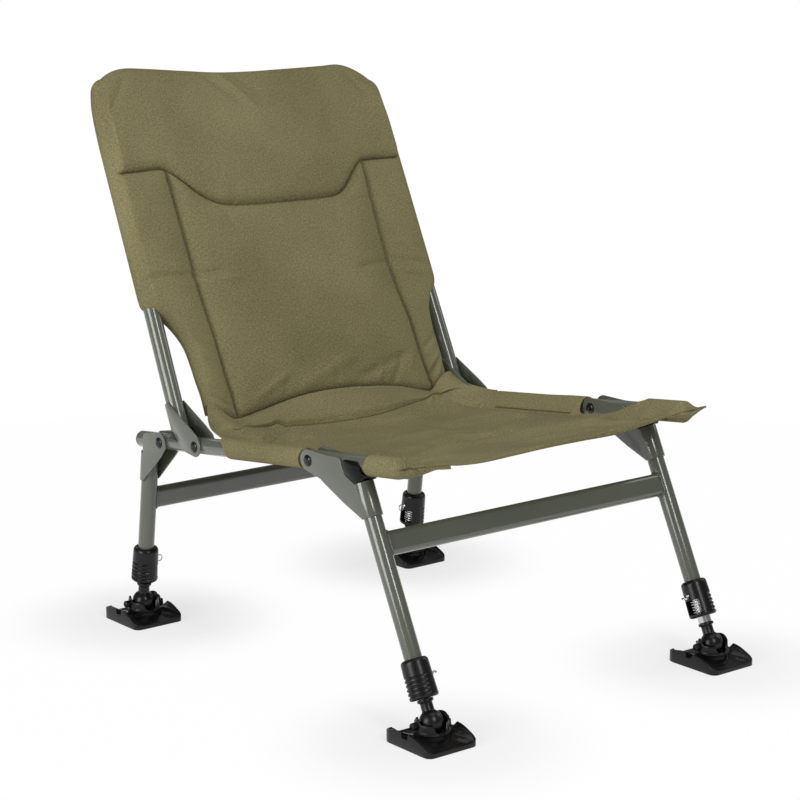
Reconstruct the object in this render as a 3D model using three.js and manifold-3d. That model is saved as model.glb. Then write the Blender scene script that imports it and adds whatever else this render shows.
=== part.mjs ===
// Low folding chair with a sling seat, a quilted back and four extending legs.
// Millimetres, +Z up, the chair faces -Y, the foot pads stand on z = 0.
import * as THREE from 'three';
import { mergeVertices, toCreasedNormals } from 'three/addons/utils/BufferGeometryUtils.js';
import Module from 'manifold-3d';

const wasm = await Module();
wasm.setup();

// Driving dimensions
const SIDE_X = 235; // side plane: rails, legs and back tubes share it
const TUBE_R = 11;
const TUBE_WALL = 1.8;
const CLEAR = 0.3;
const SEG = 18; // sides of a tube
const WHEELBASE = 619.2;
const BALL_Z = 26.5;
const BALL_R = 15;
const Y_SHIFT = -348.2; // centres the bounding box on y = 0
const RAIL_SLOPE = 0.1175; // rail rises to the front
const RAIL_Y0 = 605; // height of the rail line at this y
const RAIL_Z0 = 256;
const RAIL_FRONT = 62; // the sleeves close in front of the rail ends
const RAIL_REAR = 610;
const FRONT_LEAN = 0.49; // y per z of the front legs
const REAR_LEAN = -0.13;
const BACK_LEAN = 0.466;
const BACK_Y300 = 523.4; // back tube axis at z = 300
const BACK_TOP = 507.5; // top tube axis, along the back
const BACK_HALF_TOP = 226.5;
const BACK_BEND = 52;
const FRONT_PIVOT = [221, 301];
const BACK_PIVOT = [468, 272];
const REAR_PIVOT = [551, 262.3];
const PLATE_IN = 11.3; // bracket plates straddle the tubes
const PLATE_OUT = 13.3;
const RIVET_R = 4;
const RIVET_HEAD_R = 7.4;
const FRONT_TUBE_TOP = 291; // along the leg from the ball centre
const REAR_TUBE_TOP = 215;
const FRONT_BAR_S = 215.5;
const REAR_BAR_S = 149.5;
const BAR_TALL = 30;
const BAR_DEEP = 15;
const COLLAR_LEN = 46;
const COLLAR_BOTTOM = { front_l: 28, front_r: 36, rear_l: 31, rear_r: 31 };
const INNER_R = 8.75;
const INNER_WALL = 1.5;
const FRONT_TRAVEL = 95;
const REAR_TRAVEL = 80;
const PAD_HALF_X = 38;
const PAD_FRONT = -41.5;
const PAD_REAR = 45;
const PAD_WING = 19.5; // wing tops, the highest part of the foot's plate
const SEAT_SLEEVE_R = 13.2;
const SEAT_REAR = 422;
const PANEL_DROP = 7; // the panel hangs this far under the rail line
const PANEL_EDGE = 200; // where the sleeves are sewn to the panel

// Materials
const paint = (name, color, roughness, metalness) => {
  const m = new THREE.MeshStandardMaterial({ color, roughness, metalness });
  m.name = name;
  return m;
};
const FRAME_PAINT = () => paint('frame_paint', 0x6b7062, 0.35, 0.0);
const BLACK_PLASTIC = () => paint('black_plastic', 0x1c1c1e, 0.5, 0.0);
const PLATED_STEEL = () => paint('plated_steel', 0xc8cacc, 0.25, 1.0);
const RIVET_STEEL = () => paint('rivet_steel', 0x1f2022, 0.3, 1.0);
const CLOTH = () => paint('olive_cloth', 0x766e4b, 0.9, 0.0);

// Solids
function weld(geometry) {
  const g = geometry.index ? geometry.toNonIndexed() : geometry.clone();
  g.deleteAttribute('normal');
  g.deleteAttribute('uv');
  const w = mergeVertices(g, 1e-4);
  const ids = [];
  const src = w.index.array;
  for (let i = 0; i < src.length; i += 3) {
    const a = src[i];
    const b = src[i + 1];
    const c = src[i + 2];
    if (a !== b && b !== c && c !== a) ids.push(a, b, c);
  }
  w.setIndex(ids);
  return w;
}

function solid(geometry) {
  const w = weld(geometry);
  const mesh = new wasm.Mesh({
    numProp: 3,
    vertProperties: new Float32Array(w.attributes.position.array),
    triVerts: new Uint32Array(w.index.array),
  });
  return new wasm.Manifold(mesh);
}

function geometryOf(m) {
  const mesh = m.getMesh();
  const n = mesh.vertProperties.length / mesh.numProp;
  const pos = new Float32Array(n * 3);
  for (let i = 0; i < n; i++) {
    for (let k = 0; k < 3; k++) pos[i * 3 + k] = mesh.vertProperties[i * mesh.numProp + k];
  }
  const g = new THREE.BufferGeometry();
  g.setAttribute('position', new THREE.BufferAttribute(pos, 3));
  g.setIndex(Array.from(mesh.triVerts));
  return g;
}

function mirrored(geometry) {
  const g = geometry.clone();
  g.scale(-1, 1, 1);
  const ids = Array.from(g.index.array);
  for (let i = 0; i < ids.length; i += 3) {
    const b = ids[i + 1];
    ids[i + 1] = ids[i + 2];
    ids[i + 2] = b;
  }
  g.setIndex(ids);
  return g;
}

// Local frames: x outwards, n across, s along a tube lying in the side plane
function tubeFrame(y0, z0, dir) {
  const len = Math.hypot(dir[0], dir[1]);
  const dy = dir[0] / len;
  const dz = dir[1] / len;
  const m = new THREE.Matrix4();
  m.set(1, 0, 0, SIDE_X, 0, dz, dy, y0, 0, -dy, dz, z0, 0, 0, 0, 1);
  return {
    m,
    at: (n, s) => [y0 + n * dz + s * dy, z0 - n * dy + s * dz],
    of: (y, z) => [(y - y0) * dz - (z - z0) * dy, (y - y0) * dy + (z - z0) * dz],
  };
}

const railZ = (y) => RAIL_Z0 + RAIL_SLOPE * (RAIL_Y0 - y);
const FRONT = tubeFrame(0, BALL_Z, [FRONT_LEAN, 1]);
const REAR = tubeFrame(WHEELBASE, BALL_Z, [REAR_LEAN, 1]);
const RAIL = tubeFrame(RAIL_REAR, railZ(RAIL_REAR), [-1, RAIL_SLOPE]);
const RAIL_LEN = (RAIL_REAR - RAIL_FRONT) * Math.hypot(1, RAIL_SLOPE);

// The back plane: foot of the perpendicular from the back pivot
const BACK_DIR = [BACK_LEAN, 1];
const backLen = Math.hypot(BACK_DIR[0], BACK_DIR[1]);
const along = ((BACK_PIVOT[0] - BACK_Y300) * BACK_DIR[0] + (BACK_PIVOT[1] - 300) * BACK_DIR[1]) / backLen;
const BACK_FOOT = [BACK_Y300 + (along * BACK_DIR[0]) / backLen, 300 + (along * BACK_DIR[1]) / backLen];
const BACK = tubeFrame(BACK_FOOT[0], BACK_FOOT[1], BACK_DIR);
const backHalf = (t) => (t < 72 ? SIDE_X : SIDE_X + ((BACK_HALF_TOP - SIDE_X) * (t - 72)) / (BACK_TOP - 72));

function place(geometry, frame, dx = 0) {
  const g = geometry.clone();
  g.translate(dx, 0, 0);
  g.applyMatrix4(frame.m);
  return g;
}

function rod(frame, s0, s1, r, seg = SEG, dx = 0, n = 0) {
  const g = new THREE.CylinderGeometry(r, r, s1 - s0, seg);
  g.rotateX(Math.PI / 2);
  g.translate(0, n, (s0 + s1) / 2);
  return solid(place(g, frame, dx));
}

function pipe(frame, s0, s1, ro, ri, seg = SEG, dx = 0) {
  return rod(frame, s0, s1, ro, seg, dx).subtract(rod(frame, s0 - 1, s1 + 1, ri, seg, dx));
}

function revolve(frame, profile, seg = SEG, dx = 0) {
  const g = new THREE.LatheGeometry(profile.map((p) => new THREE.Vector2(p[0], p[1])), seg);
  g.rotateX(Math.PI / 2);
  return solid(place(g, frame, dx));
}

function block(frame, x0, x1, n0, n1, s0, s1) {
  const g = new THREE.BoxGeometry(x1 - x0, n1 - n0, s1 - s0);
  g.translate((x0 + x1) / 2, (n0 + n1) / 2, (s0 + s1) / 2);
  return solid(place(g, frame));
}

// A prism with its outline in the side plane (y, z), thick from x0 to x1
function prism(outline, x0, x1) {
  const shape = new THREE.Shape(outline.map((p) => new THREE.Vector2(p[0], p[1])));
  const g = new THREE.ExtrudeGeometry(shape, { depth: x1 - x0, bevelEnabled: false });
  const m = new THREE.Matrix4();
  m.set(0, 0, 1, x0, 1, 0, 0, 0, 0, 1, 0, 0, 0, 0, 0, 1);
  g.applyMatrix4(m);
  return solid(g);
}

// A cylinder across the side plane at (y, z)
function crossRod(y, z, r, x0, x1, seg = 20) {
  const g = new THREE.CylinderGeometry(r, r, x1 - x0, seg);
  g.rotateZ(Math.PI / 2);
  g.translate((x0 + x1) / 2, y, z);
  return solid(g);
}

function arc(cy, cz, r, a0, a1, steps) {
  const out = [];
  for (let i = 0; i <= steps; i++) {
    const a = ((a0 + ((a1 - a0) * i) / steps) * Math.PI) / 180;
    out.push([cy + r * Math.cos(a), cz + r * Math.sin(a)]);
  }
  return out;
}

const railRod = (r) => rod(RAIL, -20, RAIL_LEN + 30, r);

// Nodes
const group = new THREE.Group();
group.name = 'carp_chair';
const chair = new THREE.Group();
chair.name = 'chair_assembly';
chair.position.y = Y_SHIFT;
group.add(chair);

function add(name, geometry, material) {
  const mesh = new THREE.Mesh(toCreasedNormals(geometry, 0.55), material);
  mesh.name = name;
  chair.add(mesh);
}

function addSides(name, manifold, makeMaterial) {
  const g = geometryOf(manifold);
  add(`${name}_r`, g, makeMaterial());
  add(`${name}_l`, mirrored(g), makeMaterial());
}

// Seat rails with end caps
function seatRails() {
  let rail = pipe(RAIL, 0, RAIL_LEN, TUBE_R, TUBE_R - TUBE_WALL);
  for (const [y, z] of [FRONT_PIVOT, BACK_PIVOT, REAR_PIVOT]) {
    rail = rail.subtract(crossRod(y, z, RIVET_R + CLEAR, SIDE_X - 20, SIDE_X + 20, 10));
  }
  addSides('seat_rail', rail, FRAME_PAINT);
  const plugR = TUBE_R - TUBE_WALL - CLEAR;
  const dome = [
    [0, -7.2],
    [4.5, -6.8],
    [8, -5.2],
    [10.2, -2.8],
    [11, -CLEAR],
    [plugR, -CLEAR],
    [plugR, 10],
    [0, 10],
  ];
  addSides('rail_cap_rear', revolve(RAIL, dome, 16), FRAME_PAINT);
  const nose = [
    [0, RAIL_LEN - 10],
    [plugR, RAIL_LEN - 10],
    [plugR, RAIL_LEN + CLEAR],
    [10.8, RAIL_LEN + CLEAR],
    [10.8, RAIL_LEN + 1.6],
    [9.4, RAIL_LEN + 2.4],
    [0, RAIL_LEN + 2.4],
  ];
  addSides('rail_cap_front', revolve(RAIL, nose, 16), BLACK_PLASTIC);
}

// Pivot rivets: a shank through both plates and the rail, a domed head each side
function rivets() {
  const inX = SIDE_X - PLATE_OUT - CLEAR;
  const outX = SIDE_X + PLATE_OUT + CLEAR;
  const profile = [
    [0, inX - 2.6],
    [3.6, inX - 2.4],
    [6.2, inX - 1.5],
    [RIVET_HEAD_R, inX],
    [RIVET_R, inX],
    [RIVET_R, outX],
    [RIVET_HEAD_R, outX],
    [6.2, outX + 1.5],
    [3.6, outX + 2.4],
    [0, outX + 2.6],
  ];
  const places = { front_leg: FRONT_PIVOT, back: BACK_PIVOT, rear_leg: REAR_PIVOT };
  for (const [name, [y, z]] of Object.entries(places)) {
    const g = new THREE.LatheGeometry(profile.map((p) => new THREE.Vector2(p[0], p[1])), 14);
    g.rotateZ(-Math.PI / 2);
    g.translate(0, y, z);
    addSides(`${name}_rivet`, solid(g), RIVET_STEEL);
  }
}

// A folded channel: two plates beside the tube and a round bend wrapping it
function channel(frame, outline, s0, s1, bendSide, pivot) {
  const wrap = pipe(frame, s0, s1, PLATE_OUT, PLATE_IN, 20);
  const half = block(frame, -20, 20, bendSide > 0 ? -0.6 : -20, bendSide > 0 ? 20 : 0.6, s0 - 1, s1 + 1);
  const plates = prism(outline, SIDE_X - PLATE_OUT, SIDE_X - PLATE_IN).add(
    prism(outline, SIDE_X + PLATE_IN, SIDE_X + PLATE_OUT)
  );
  const hole = crossRod(pivot[0], pivot[1], RIVET_R + CLEAR, SIDE_X - 20, SIDE_X + 20, 10);
  return wrap.intersect(half).add(plates).subtract(hole);
}

function legBrackets() {
  const front = [
    FRONT.at(-1, 250),
    FRONT.at(4, 250),
    [121.5, 252.3],
    [148.7, 262.1],
    [187.5, 278.7],
    [196, 283],
    [221, 288.3],
    [231.5, 290.8],
    ...arc(221.5, 301, 14.2, -38, 90, 9),
    [181.5, 315],
    [160.5, 316.4],
    [155.5, 312],
    [151.5, 303],
    [147, 297],
    FRONT.at(-1, 293),
  ];
  addSides('front_leg_bracket', channel(FRONT, front, 250, 293, -1, FRONT_PIVOT), FRAME_PAINT);
  const rear = [
    REAR.at(1, 177),
    REAR.at(1, 216),
    [591, 246],
    [590, 264],
    [586, 269],
    [549, 276.8],
    ...arc(551, 262.3, 14.6, 98, 195, 7),
    [540, 254],
    [548.8, 243.3],
    REAR.at(-3, 177),
  ];
  addSides('rear_leg_bracket', channel(REAR, rear, 177, 216, 1, REAR_PIVOT), FRAME_PAINT);
}

function backBrackets() {
  const outline = [
    BACK.at(1, 69.5),
    BACK.at(-3.5, 69.5),
    [477.5, 295.2],
    [462, 286.5],
    ...arc(468, 272, 13.4, 130, 262, 8),
    [486.8, 261.2],
    [496.5, 264.6],
    [508, 275],
    BACK.at(1, 32),
  ];
  addSides('back_bracket', channel(BACK, outline, 32, 69.5, 1, BACK_PIVOT), FRAME_PAINT);
}

// Plastic saddles in the tube ends, hollowed to sit on the rail
function saddles() {
  const rail = railRod(TUBE_R + CLEAR);
  const plugR = TUBE_R - TUBE_WALL - CLEAR;
  const outline = [
    FRONT.at(-10.4, 293.5),
    FRONT.at(10.4, 293.5),
    [150, 299],
    [150, 310],
    [118, 314],
    [118, 300],
  ];
  const cheeks = [
    FRONT.at(-10.4, 293.5),
    FRONT.at(-1.5, 293.5),
    [146.4, 298],
    [150.6, 303.6],
    [154.2, 312],
    [149, 316],
    [126, 318],
    [118.5, 312],
    [118, 300],
  ];
  const front = prism(outline, SIDE_X - 10.9, SIDE_X + 10.9)
    .add(prism(cheeks, SIDE_X - 13.2, SIDE_X + 13.2))
    .subtract(rail)
    .subtract(rod(RAIL, 0, RAIL_LEN, TUBE_R + CLEAR, SEG, 0, 6))
    .subtract(block(RAIL, -TUBE_R - CLEAR, TUBE_R + CLEAR, 0, 20, 0, RAIL_LEN))
    .add(rod(FRONT, FRONT_TUBE_TOP - 14, 295, plugR));
  addSides('front_leg_saddle', front, BLACK_PLASTIC);
  const under = [
    BACK.at(-10, 31.6),
    BACK.at(10, 31.6),
    [529, 272],
    [500, 272],
  ];
  const back = prism(under, SIDE_X - 10.6, SIDE_X + 10.6)
    .subtract(rail)
    .add(rod(BACK, 20, 46, plugR).subtract(railRod(TUBE_R + CLEAR)));
  addSides('back_saddle', back, BLACK_PLASTIC);
}

function stadium(half, tall) {
  const s = new THREE.Shape();
  const c = tall / 2 - half;
  s.absarc(0, c, half, 0, Math.PI, false);
  s.absarc(0, -c, half, Math.PI, 2 * Math.PI, false);
  return s;
}

// Oval bars welded between the legs, coped to the leg tubes
function crossbar(name, frame, s) {
  const reach = SIDE_X - 6;
  const bar = (grow) => {
    const shape = stadium(BAR_DEEP / 2 - grow, BAR_TALL - 2 * grow);
    const g = new THREE.ExtrudeGeometry(shape, {
      depth: 2 * (reach + grow * 2),
      bevelEnabled: false,
      curveSegments: 8,
    });
    g.translate(0, s, -reach - grow * 2);
    const m = new THREE.Matrix4();
    m.set(0, 0, 1, -SIDE_X, 1, 0, 0, 0, 0, 1, 0, 0, 0, 0, 0, 1);
    g.applyMatrix4(m);
    return solid(place(g, frame));
  };
  let body = bar(0).subtract(bar(1.6));
  body = body.subtract(rod(frame, s - 40, s + 40, TUBE_R + CLEAR));
  body = body.subtract(rod(frame, s - 40, s + 40, TUBE_R + CLEAR, SEG, -2 * SIDE_X));
  add(name, geometryOf(body), FRAME_PAINT());
}

// Legs: outer tube, collar, wound spring, pull pin, inner tube, ball stem, pad
function leg(key, frame, tubeTop, travel, mirror) {
  const c0 = COLLAR_BOTTOM[key];
  const put = (name, manifold, makeMaterial) => {
    const g = geometryOf(manifold);
    add(`${key}_${name}`, mirror ? mirrored(g) : g, makeMaterial());
  };
  const pinS = c0 + 30;
  const pinLine = (r, x0, x1) => {
    const g = new THREE.CylinderGeometry(r, r, x1 - x0, 10);
    g.rotateZ(Math.PI / 2);
    g.translate((x0 + x1) / 2, 0, pinS);
    return solid(place(g, frame));
  };
  const pinHole = pinLine(2.4, -20, 0);
  const tube = pipe(frame, c0 + 26, tubeTop, TUBE_R, TUBE_R - TUBE_WALL);
  put('outer_tube', tube.subtract(pinHole), FRAME_PAINT);

  const profile = [
    [9.4, c0],
    [15.9, c0],
    [16.7, c0 + 1.2],
    [16.7, c0 + 8],
    [16.2, c0 + 24],
    [15.5, c0 + COLLAR_LEN - 4],
    [14.9, c0 + COLLAR_LEN - 1.2],
    [13.6, c0 + COLLAR_LEN],
    [TUBE_R + 0.3, c0 + COLLAR_LEN],
    [TUBE_R + 0.3, c0 + 25.6],
    [13.6, c0 + 24.6],
    [13.6, c0 + 3],
    [9.4, c0 + 3],
    [9.4, c0],
  ];
  let collar = revolve(frame, profile, 20);
  collar = collar.subtract(block(frame, -24, -4.5, -12.6, 12.6, c0 + 4.6, c0 + 23.4));
  for (let i = 0; i < 4; i++) {
    const s = c0 + 5 + i * 5;
    const groove = block(frame, 15.2, 24, -9, 9, s, s + 2);
    collar = collar.subtract(groove);
  }
  put('collar', collar.subtract(pinHole), BLACK_PLASTIC);

  const coil = new THREE.Curve();
  const turns = 4;
  coil.getPoint = (t) => {
    const a = t * turns * 2 * Math.PI;
    return new THREE.Vector3(11 * Math.cos(a), 11 * Math.sin(a), c0 + 5.4 + t * 16.4);
  };
  const wire = new THREE.Shape();
  wire.absarc(0, 0, 0.9, 0, 2 * Math.PI, false);
  const wound = new THREE.ExtrudeGeometry(wire, { steps: 32, curveSegments: 3, extrudePath: coil });
  put('collar_spring', solid(place(wound, frame)), PLATED_STEEL);

  const ring = new THREE.TorusGeometry(4.4, 0.8, 6, 14);
  ring.rotateX(Math.PI / 2);
  ring.translate(-22.6, 0, pinS);
  const pin = pinLine(1.8, -19.4, -6.4).add(solid(place(ring, frame)));
  put('pull_pin', pin, PLATED_STEEL);

  const innerTop = pinS + travel + 42;
  const slot = block(frame, -12, 0, -2.3, 2.3, pinS - 2.6, pinS + travel + 3);
  const inner = pipe(frame, 27.8, innerTop, INNER_R, INNER_R - INNER_WALL).subtract(slot);
  put('inner_tube', inner, PLATED_STEEL);

  const ballProfile = [];
  for (let i = 0; i <= 7; i++) {
    const a = -Math.PI / 2 + (i / 7) * (Math.PI / 2 + Math.PI / 3);
    ballProfile.push([Math.max(0, BALL_R * Math.cos(a)), BALL_R * Math.sin(a)]);
  }
  ballProfile[0][0] = 0;
  ballProfile.push([7.4, 15], [7.4, 23.4], [9.7, 24], [9.7, 27.5]);
  ballProfile.push([INNER_R - INNER_WALL - CLEAR, 27.5], [INNER_R - INNER_WALL - CLEAR, 46], [0, 46]);
  put('ball_stem', revolve(frame, ballProfile, 16), BLACK_PLASTIC);
}

// Foot pad: square base, two wings sloping to the front, a slotted ball cup
function footPad(key, ballY, mirror) {
  const base = { m: new THREE.Matrix4().makeTranslation(SIDE_X, ballY, 0) };
  const footprint = new THREE.Shape();
  const r = 9;
  const hx = PAD_HALF_X;
  footprint.moveTo(-hx + r, PAD_FRONT);
  footprint.absarc(hx - r, PAD_FRONT + r, r, -Math.PI / 2, 0, false);
  footprint.absarc(hx - r, PAD_REAR - r, r, 0, Math.PI / 2, false);
  footprint.absarc(-hx + r, PAD_REAR - r, r, Math.PI / 2, Math.PI, false);
  footprint.absarc(-hx + r, PAD_FRONT + r, r, Math.PI, 1.5 * Math.PI, false);
  const slab = new THREE.ExtrudeGeometry(footprint, { depth: PAD_WING, bevelEnabled: false, curveSegments: 3 });
  const side = [
    [ballY + PAD_FRONT - 1, -1],
    [ballY + PAD_REAR + 1, -1],
    [ballY + PAD_REAR + 1, PAD_WING - 7],
    [ballY + PAD_REAR - 4, PAD_WING - 5.5],
    [ballY + 30, PAD_WING - 2.5],
    [ballY + 16, PAD_WING],
    [ballY - 10, PAD_WING - 0.5],
    [ballY - 27, PAD_WING - 4],
    [ballY - 36, PAD_WING - 8.5],
    [ballY + PAD_FRONT - 1, PAD_WING - 14],
  ];
  let pad = solid(place(slab, base)).intersect(prism(side, SIDE_X - 60, SIDE_X + 60));
  const dish = new THREE.Shape();
  dish.moveTo(-24, 3.4);
  dish.lineTo(24, 3.4);
  dish.lineTo(35.5, 20);
  dish.lineTo(-35.5, 20);
  const hollow = new THREE.ExtrudeGeometry(dish, { depth: 100, bevelEnabled: false });
  hollow.rotateX(Math.PI / 2);
  hollow.translate(0, 50, 0);
  const floor = [
    [ballY + PAD_FRONT + 3.5, 30],
    [ballY + PAD_FRONT + 3.5, 4.2],
    [ballY - 19, 6.5],
    [ballY - 11, 15],
    [ballY - 5, 18.5],
    [ballY + 8, 18.5],
    [ballY + 24, 9],
    [ballY + PAD_REAR - 6, 7.5],
    [ballY + PAD_REAR - 3, 12],
    [ballY + PAD_REAR - 3, 30],
  ];
  pad = pad.subtract(solid(place(hollow, base)).intersect(prism(floor, SIDE_X - 40, SIDE_X + 40)));
  const trough = [
    [ballY - 2, 30],
    [ballY + 1, 13],
    [ballY + 10, 13],
    [ballY + 13, 30],
  ];
  pad = pad.subtract(prism(trough, SIDE_X - 40, SIDE_X + 40));
  const cup = [
    [0, 2],
    [21.5, 2],
    [20.2, 6],
    [18.6, 12],
    [18.4, BALL_Z],
    [18, BALL_Z + 6.5],
    [15, BALL_Z + 7.5],
    [0, BALL_Z + 7.5],
  ];
  let socket = revolve(base, cup, 18);
  const ears = prism(
    [
      [ballY - 9, 3],
      [ballY + 9, 3],
      [ballY + 7, BALL_Z + 5],
      [ballY + 4, BALL_Z + 8.5],
      [ballY - 4, BALL_Z + 8.5],
      [ballY - 7, BALL_Z + 5],
    ],
    SIDE_X - 21,
    SIDE_X + 21
  );
  socket = socket.add(ears).add(crossRod(ballY - 1, BALL_Z - 1.5, 4.4, SIDE_X - 23.5, SIDE_X + 23.5, 10));
  pad = pad.add(socket);
  const ball = new THREE.SphereGeometry(BALL_R + 0.5, 16, 10);
  ball.rotateX(Math.PI / 2);
  ball.translate(SIDE_X, ballY, BALL_Z);
  pad = pad.subtract(solid(ball));
  const gate = (y0, y1, bottom, half) => {
    const s = new THREE.Shape();
    s.moveTo(-half, 60);
    s.lineTo(-half, bottom + half);
    s.absarc(0, bottom + half, half, Math.PI, 2 * Math.PI, false);
    s.lineTo(half, 60);
    const g = new THREE.ExtrudeGeometry(s, { depth: y1 - y0, bevelEnabled: false, curveSegments: 4 });
    g.rotateX(Math.PI / 2);
    g.translate(SIDE_X, ballY + y1, 0);
    return solid(g);
  };
  pad = pad.subtract(gate(-30, 0, 13.5, 10)).subtract(gate(0, 30, 15, 10));
  const bore = new THREE.CylinderGeometry(2.2, 2.2, 20, 8);
  bore.rotateX(Math.PI / 2);
  bore.translate(SIDE_X + 0, ballY - 28, 5);
  pad = pad.subtract(solid(bore));
  const g = geometryOf(pad);
  add(`${key}_foot_pad`, mirror ? mirrored(g) : g, BLACK_PLASTIC());
}

// The back hoop: straight tubes, two bends, a top tube; stations keep it light
class Stations extends THREE.Curve {
  constructor(points) {
    super();
    this.points = points;
  }
  getPoint(t) {
    const f = t * (this.points.length - 1);
    const i = Math.min(Math.floor(f + 1e-9), this.points.length - 2);
    return this.points[i].clone().lerp(this.points[i + 1], f - i);
  }
  getPointAt(u) {
    return this.getPoint(u);
  }
  getTangentAt(u) {
    const f = Math.round(u * (this.points.length - 1));
    const a = this.points[Math.max(0, f - 1)];
    const b = this.points[f];
    const c = this.points[Math.min(this.points.length - 1, f + 1)];
    const before = b.clone().sub(a);
    const after = c.clone().sub(b);
    return before.normalize().add(after.normalize()).normalize();
  }
}

function hoopPoints(low) {
  const half = [];
  half.push([backHalf(low), low]);
  if (low < 72) half.push([backHalf(72), 72]);
  half.push([backHalf(BACK_TOP - BACK_BEND - 150), BACK_TOP - BACK_BEND - 150]);
  const w = backHalf(BACK_TOP);
  for (let i = 0; i <= 7; i++) {
    const a = (i / 7) * (Math.PI / 2);
    half.push([w - BACK_BEND + BACK_BEND * Math.cos(a), BACK_TOP - BACK_BEND + BACK_BEND * Math.sin(a)]);
  }
  const all = half.concat(half.slice().reverse().map(([x, t]) => [-x, t]));
  return all.map(([x, t]) => {
    const [y, z] = BACK.at(0, t);
    return new THREE.Vector3(x, y, z);
  });
}

function hoop(low, ro) {
  const circle = new THREE.Shape();
  circle.absarc(0, 0, ro, 0, 2 * Math.PI, false);
  const points = hoopPoints(low);
  const path = new Stations(points);
  return solid(
    new THREE.ExtrudeGeometry(circle, { steps: points.length - 1, curveSegments: 8, extrudePath: path })
  );
}

function backFrame() {
  const body = hoop(32, TUBE_R).subtract(hoop(31, TUBE_R - TUBE_WALL));
  add('back_frame', geometryOf(body), FRAME_PAINT());
}

// A closed sheet from a grid: top(u, v) and bottom(u, v) give world points
function sheet(nu, nv, top, bottom) {
  const verts = [];
  const idx = [];
  for (const f of [top, bottom]) {
    for (let j = 0; j <= nv; j++) {
      for (let i = 0; i <= nu; i++) verts.push(...f(i, j));
    }
  }
  const id = (k, i, j) => k * (nu + 1) * (nv + 1) + j * (nu + 1) + i;
  const quad = (a, b, c, d) => idx.push(a, b, c, a, c, d);
  for (let j = 0; j < nv; j++) {
    for (let i = 0; i < nu; i++) {
      quad(id(0, i, j), id(0, i + 1, j), id(0, i + 1, j + 1), id(0, i, j + 1));
      quad(id(1, i, j), id(1, i, j + 1), id(1, i + 1, j + 1), id(1, i + 1, j));
    }
  }
  for (let i = 0; i < nu; i++) {
    quad(id(0, i, 0), id(1, i, 0), id(1, i + 1, 0), id(0, i + 1, 0));
    quad(id(0, i, nv), id(0, i + 1, nv), id(1, i + 1, nv), id(1, i, nv));
  }
  for (let j = 0; j < nv; j++) {
    quad(id(0, 0, j), id(0, 0, j + 1), id(1, 0, j + 1), id(1, 0, j));
    quad(id(0, nu, j), id(1, nu, j), id(1, nu, j + 1), id(0, nu, j + 1));
  }
  const g = new THREE.BufferGeometry();
  g.setAttribute('position', new THREE.Float32BufferAttribute(verts, 3));
  g.setIndex(idx);
  return solid(g);
}

// Seat sling: sleeves on the rails, steep sides down to a hanging panel with soft
// folds, a turned front hem and a curl up to the back
function seatCloth() {
  const rows = [48, 50, 58, 86, 114, 150, 168, 187, 215, 240, 262, 300, 352, 386, SEAT_REAR, 436, 450, 462, 476, 490, 501];
  const across = [0, 0.16, 0.32, 0.46, 0.6, 0.72, 0.8, 0.86, 0.93, 1];
  const nu = across.length * 2 - 2;
  const half = (y) => {
    if (y <= SEAT_REAR) return SIDE_X;
    return 189 + 46 * Math.max(0, 1 - (y - SEAT_REAR) / 55) ** 1.2;
  };
  const bell = (d, w) => Math.exp(-((d / w) ** 2));
  const panel = (x, y) => {
    const u = Math.min(1, Math.abs(x) / PANEL_EDGE);
    const sag = PANEL_DROP + 2.6 * (1 - u * u) * (1 - Math.abs(y - 260) / 420);
    const folds = 1.6 * bell(y - 150, 22) - 1.4 * bell(y - 187, 20) + bell(y - 262, 16) - 1.2 * bell(y - 300, 20);
    const rear = 1.4 * bell(y - 352, 15) - 1.2 * bell(y - 386, 13) - 3 * bell(y - 450, 12);
    return (folds + rear) * (1 - u ** 3) - sag;
  };
  const curl = (x, y) => {
    const up = y > 446 ? ((y - 446) / 55) ** 1.5 : 0;
    return up * (31 - 13 * Math.min(1, Math.abs(x) / 175) ** 2);
  };
  const point = (depth) => (i, j) => {
    const y = rows[j];
    const k = i - nu / 2;
    const x = Math.sign(k) * across[Math.abs(k)] * half(y);
    let up = panel(x, y) + curl(x, y);
    if (y <= SEAT_REAR + 30 && Math.abs(x) > PANEL_EDGE) {
      const rise = (Math.abs(x) - PANEL_EDGE) / (SIDE_X - PANEL_EDGE);
      up += (SEAT_SLEEVE_R - 0.2 - up) * Math.min(1, rise * 1.05) ** 1.1;
    }
    const hem = y < 52 ? 3.6 : 0;
    return [x, y, railZ(y) + up - (depth > 0 ? depth + hem : 0)];
  };
  let body = sheet(nu, rows.length - 1, point(0), point(3.6));
  for (const k of [1, -1]) {
    const dx = k > 0 ? 0 : -2 * SIDE_X;
    const sAt = (y) => RAIL.of(y, railZ(y))[1];
    body = body.add(rod(RAIL, sAt(SEAT_REAR - 14), sAt(48.5), SEAT_SLEEVE_R, 20, dx));
    body = body.subtract(rod(RAIL, sAt(SEAT_REAR + 60), RAIL_LEN + 3, TUBE_R + CLEAR, 20, dx));
    const notch = new THREE.Shape();
    notch.moveTo(k * 206, 240);
    notch.lineTo(k * 206, 190);
    notch.lineTo(k * 219, 120);
    notch.lineTo(k * 219, 114);
    notch.lineTo(k * 262, 114);
    notch.lineTo(k * 262, 240);
    const cut = new THREE.ExtrudeGeometry(notch, { depth: 90, bevelEnabled: false });
    cut.translate(0, 0, 260);
    body = body.subtract(solid(cut));
  }
  add('seat_cloth', geometryOf(body), CLOTH());
}

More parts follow.
